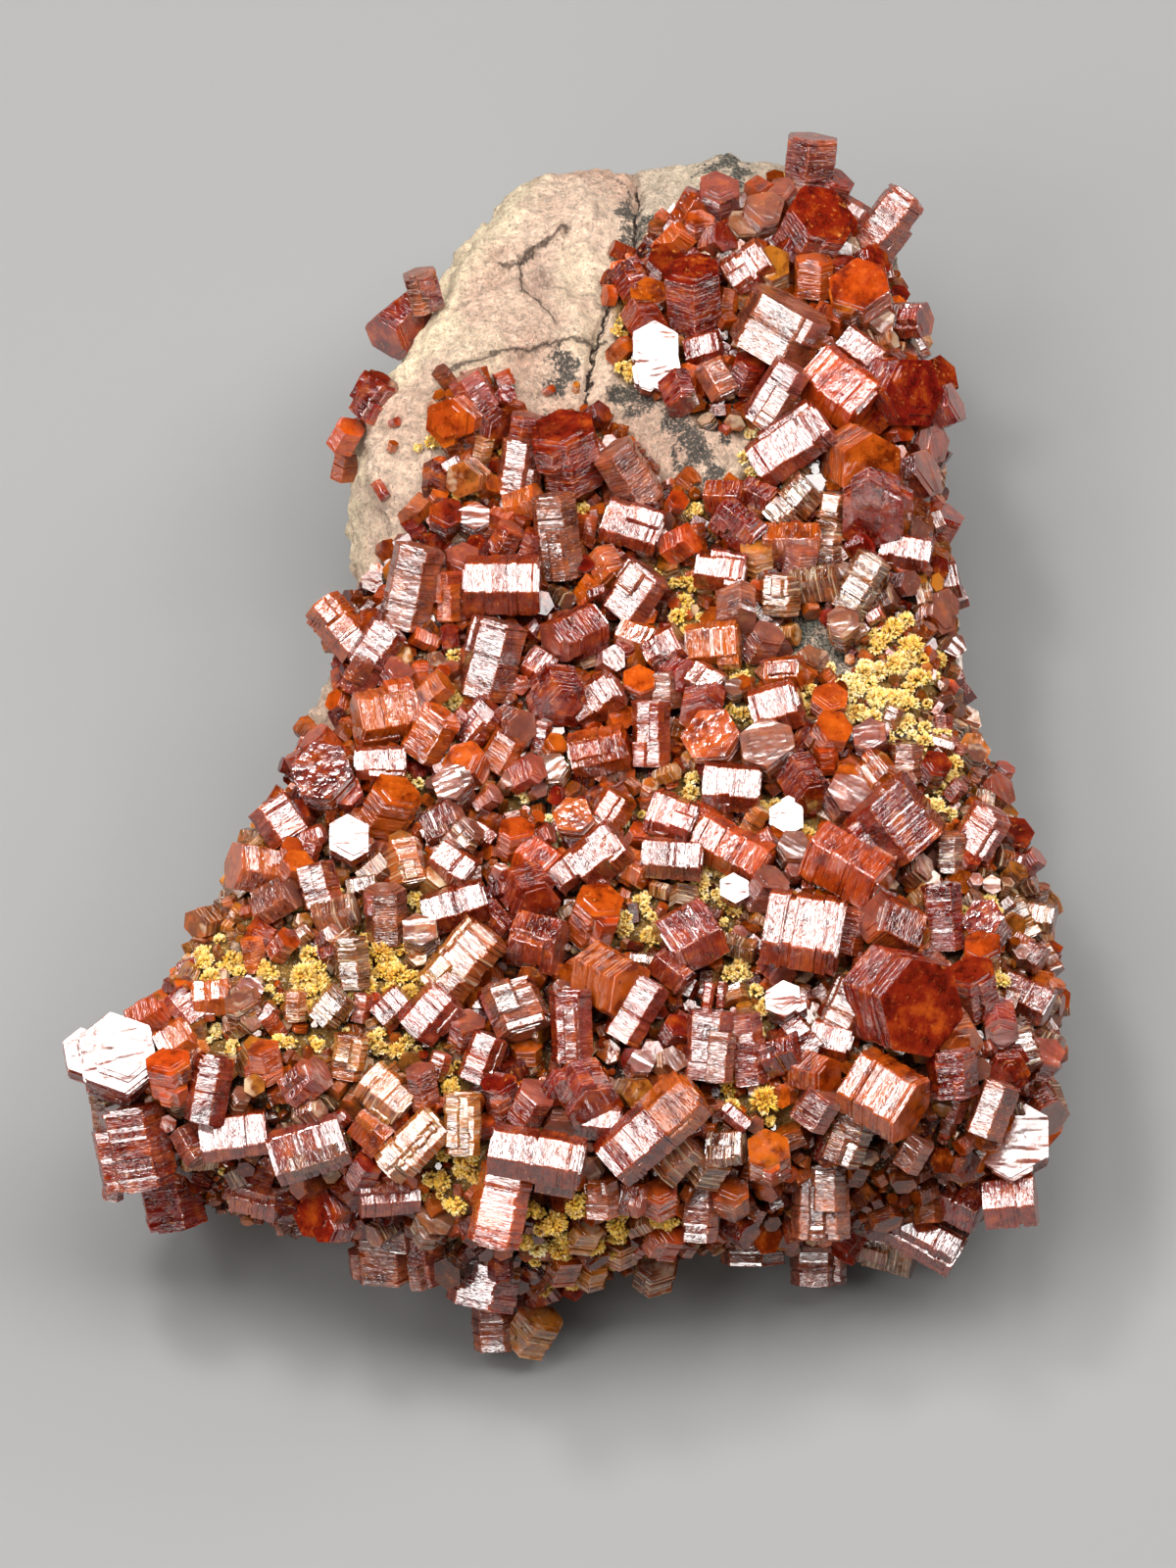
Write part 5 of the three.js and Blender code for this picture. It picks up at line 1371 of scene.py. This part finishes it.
def scatter(batch, weights, tries, low, high, share, plates):
    """Small crystals grown at random places of the carpet, wherever they don't crowd what is there."""
    places, ups = spots(tries, weights)
    across_at, up_at = on_display(places)
    for p, normal, x, y in zip(places, ups, across_at, up_at):
        radius = low + (high - low) * rng.random() ** 1.5
        behind = float(smooth(0.3, -0.1, normal @ OUT))
        if x < 0 and y > LEFT_WALL_END and normal @ OUT < 0.3:
            radius = min(radius, 0.7 + 0.5 * behind)
        if y < np.interp(x, *FRONT_LINE) + radius:
            radius = 0.5 * radius
        lift = radius * 0.55
        at = p + normal * lift
        if not crowd.free(at, radius, share) or at[2] < radius + 0.8:
            continue
        crowd.put(tuple(at), radius)
        wander = np.array([rng.gauss(0, 1) for _ in range(3)])
        flat = wander - normal * (wander @ normal)
        flat /= np.linalg.norm(flat)
        # A third of them stand up, and the others lie down.
        angle = math.radians(rng.uniform(0, 35) if rng.random() < 0.35 else rng.uniform(35, 85))
        axis = normal * math.cos(angle) + flat * math.sin(angle)
        spin = np.cross(axis, normal + 0.3 * wander)
        spin /= np.linalg.norm(spin)
        edge = np.cross(spin, axis)
        length = radius * rng.uniform(0.8, 2.6)
        middle = p + normal * (lift + length * 0.3 * math.cos(angle))
        # Painted shadow for the depth of the carpet: darkened at random, more where the ground faces sideways or
        # down, and lightened on the far side.
        painted_shade = rng.uniform(0.26, 1.0) * (0.6 + 0.4 * float(smooth(-0.2, 0.5, normal[2])) + 0.9 * behind)
        prism(batch, (middle, axis, edge), radius, length, tone_at(x, y), plates, 0.0, 0.02, 0, 3.0, painted_shade)


weights = areas * (in_carpet > 0.5)
centre_across, centre_up = on_display(corner.mean(axis=1))
thin = 1 - 0.93 * near_clumps(centre_across, centre_up, 1.1)  # few crystals grow among the grains
upper = centre_up > 8  # the carpet's two halves, so that neither piece gets too large
for name, where in (("upper", upper), ("lower", ~upper)):
    batch = Batch()
    for measures in SCATTERS:
        scatter(batch, weights * where * thin, *measures)
    made = batch.make(f"druse_crystals_{name}", dull_crystal)
    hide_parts("druse")

places, ups = spots(LONE_BURSTS, weights)
for p, normal in zip(places, ups):
    if p[2] > 1.5:
        burst(p, normal, rng.uniform(0.3, 0.6), rng.uniform(0.1, 0.6))
needles = mesh_object("druse_grains", np.concatenate(needle_points), needle_faces)
add_tint(needles.data, np.concatenate(needle_tints))
needles.data.materials.append(grain_material())
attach(needles, "root")
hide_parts("druse")

# ---- Floor, light and camera ----
bpy.ops.mesh.primitive_plane_add(size=8)
floor = bpy.context.object
floor.name = "floor"
paint = Nodes("floor")
paint.set(Base_Color=(0.22, 0.218, 0.213, 1), Roughness=0.8)
floor.data.materials.append(paint.material)


def softbox(name, place, size, radiance, aim=(0, 0, 0.02)):
    """An oblong light of that size in metres and that brightness, in watts per square metre and steradian."""
    light = bpy.data.lights.new(name, "AREA")
    light.shape = "RECTANGLE"
    light.size, light.size_y = size
    light.energy = math.pi * size[0] * size[1] * radiance
    lamp = bpy.data.objects.new(name, light)
    lamp.location = place
    lamp.rotation_euler = (Vector(aim) - Vector(place)).to_track_quat("-Z", "Y").to_euler()
    scene.collection.objects.link(lamp)


for across_at in (-0.56, -0.28, 0.0, 0.28, 0.56):
    softbox("overhead", (across_at, 0.02, 0.92), (0.22, 0.44), 10.5, (across_at, 0.02, 0.0))
for name, place, size, radiance in (
    ("key", (-0.35, 0.3, 1.05), (0.16, 0.16), 55.0),
    ("left", (-0.6, -0.42, 0.8), (0.42, 0.42), 8.0),
    ("right", (0.75, 0.3, 0.7), (0.4, 0.4), 7.0),
    ("front_left", (-0.3, -0.75, 0.95), (0.22, 0.3), 3.0),
    ("front_right", (0.34, -0.35, 1.1), (0.2, 0.3), 2.0),
    ("front_low", (-0.5, -1.1, 0.38), (0.5, 0.3), 7.0),
):
    softbox(name, place, size, radiance)
world = bpy.data.worlds.new("soft")
world.use_nodes = True
world.node_tree.nodes["Background"].inputs["Color"].default_value = (1.0, 0.85, 0.7, 1)
world.node_tree.nodes["Background"].inputs["Strength"].default_value = 0.012
scene.world = world

DISTANCE = 2.0  # of the camera, in metres
FRAME_HEIGHT = 0.16  # how much of the display plane the frame shows from top to bottom, in metres
SENSOR = 36  # in mm, along the frame's height, its longer side
camera = bpy.data.objects.new("camera", bpy.data.cameras.new("camera"))
camera.data.sensor_width = SENSOR
camera.data.lens = SENSOR * DISTANCE / FRAME_HEIGHT
target = Vector(to_row(ORIGIN))
camera.location = target + Vector(OUT) * DISTANCE
camera.rotation_euler = (target - camera.location).to_track_quat("-Z", "Y").to_euler()
camera.data.clip_end = 20
scene.collection.objects.link(camera)
scene.camera = camera
scene.view_settings.view_transform = "Standard"
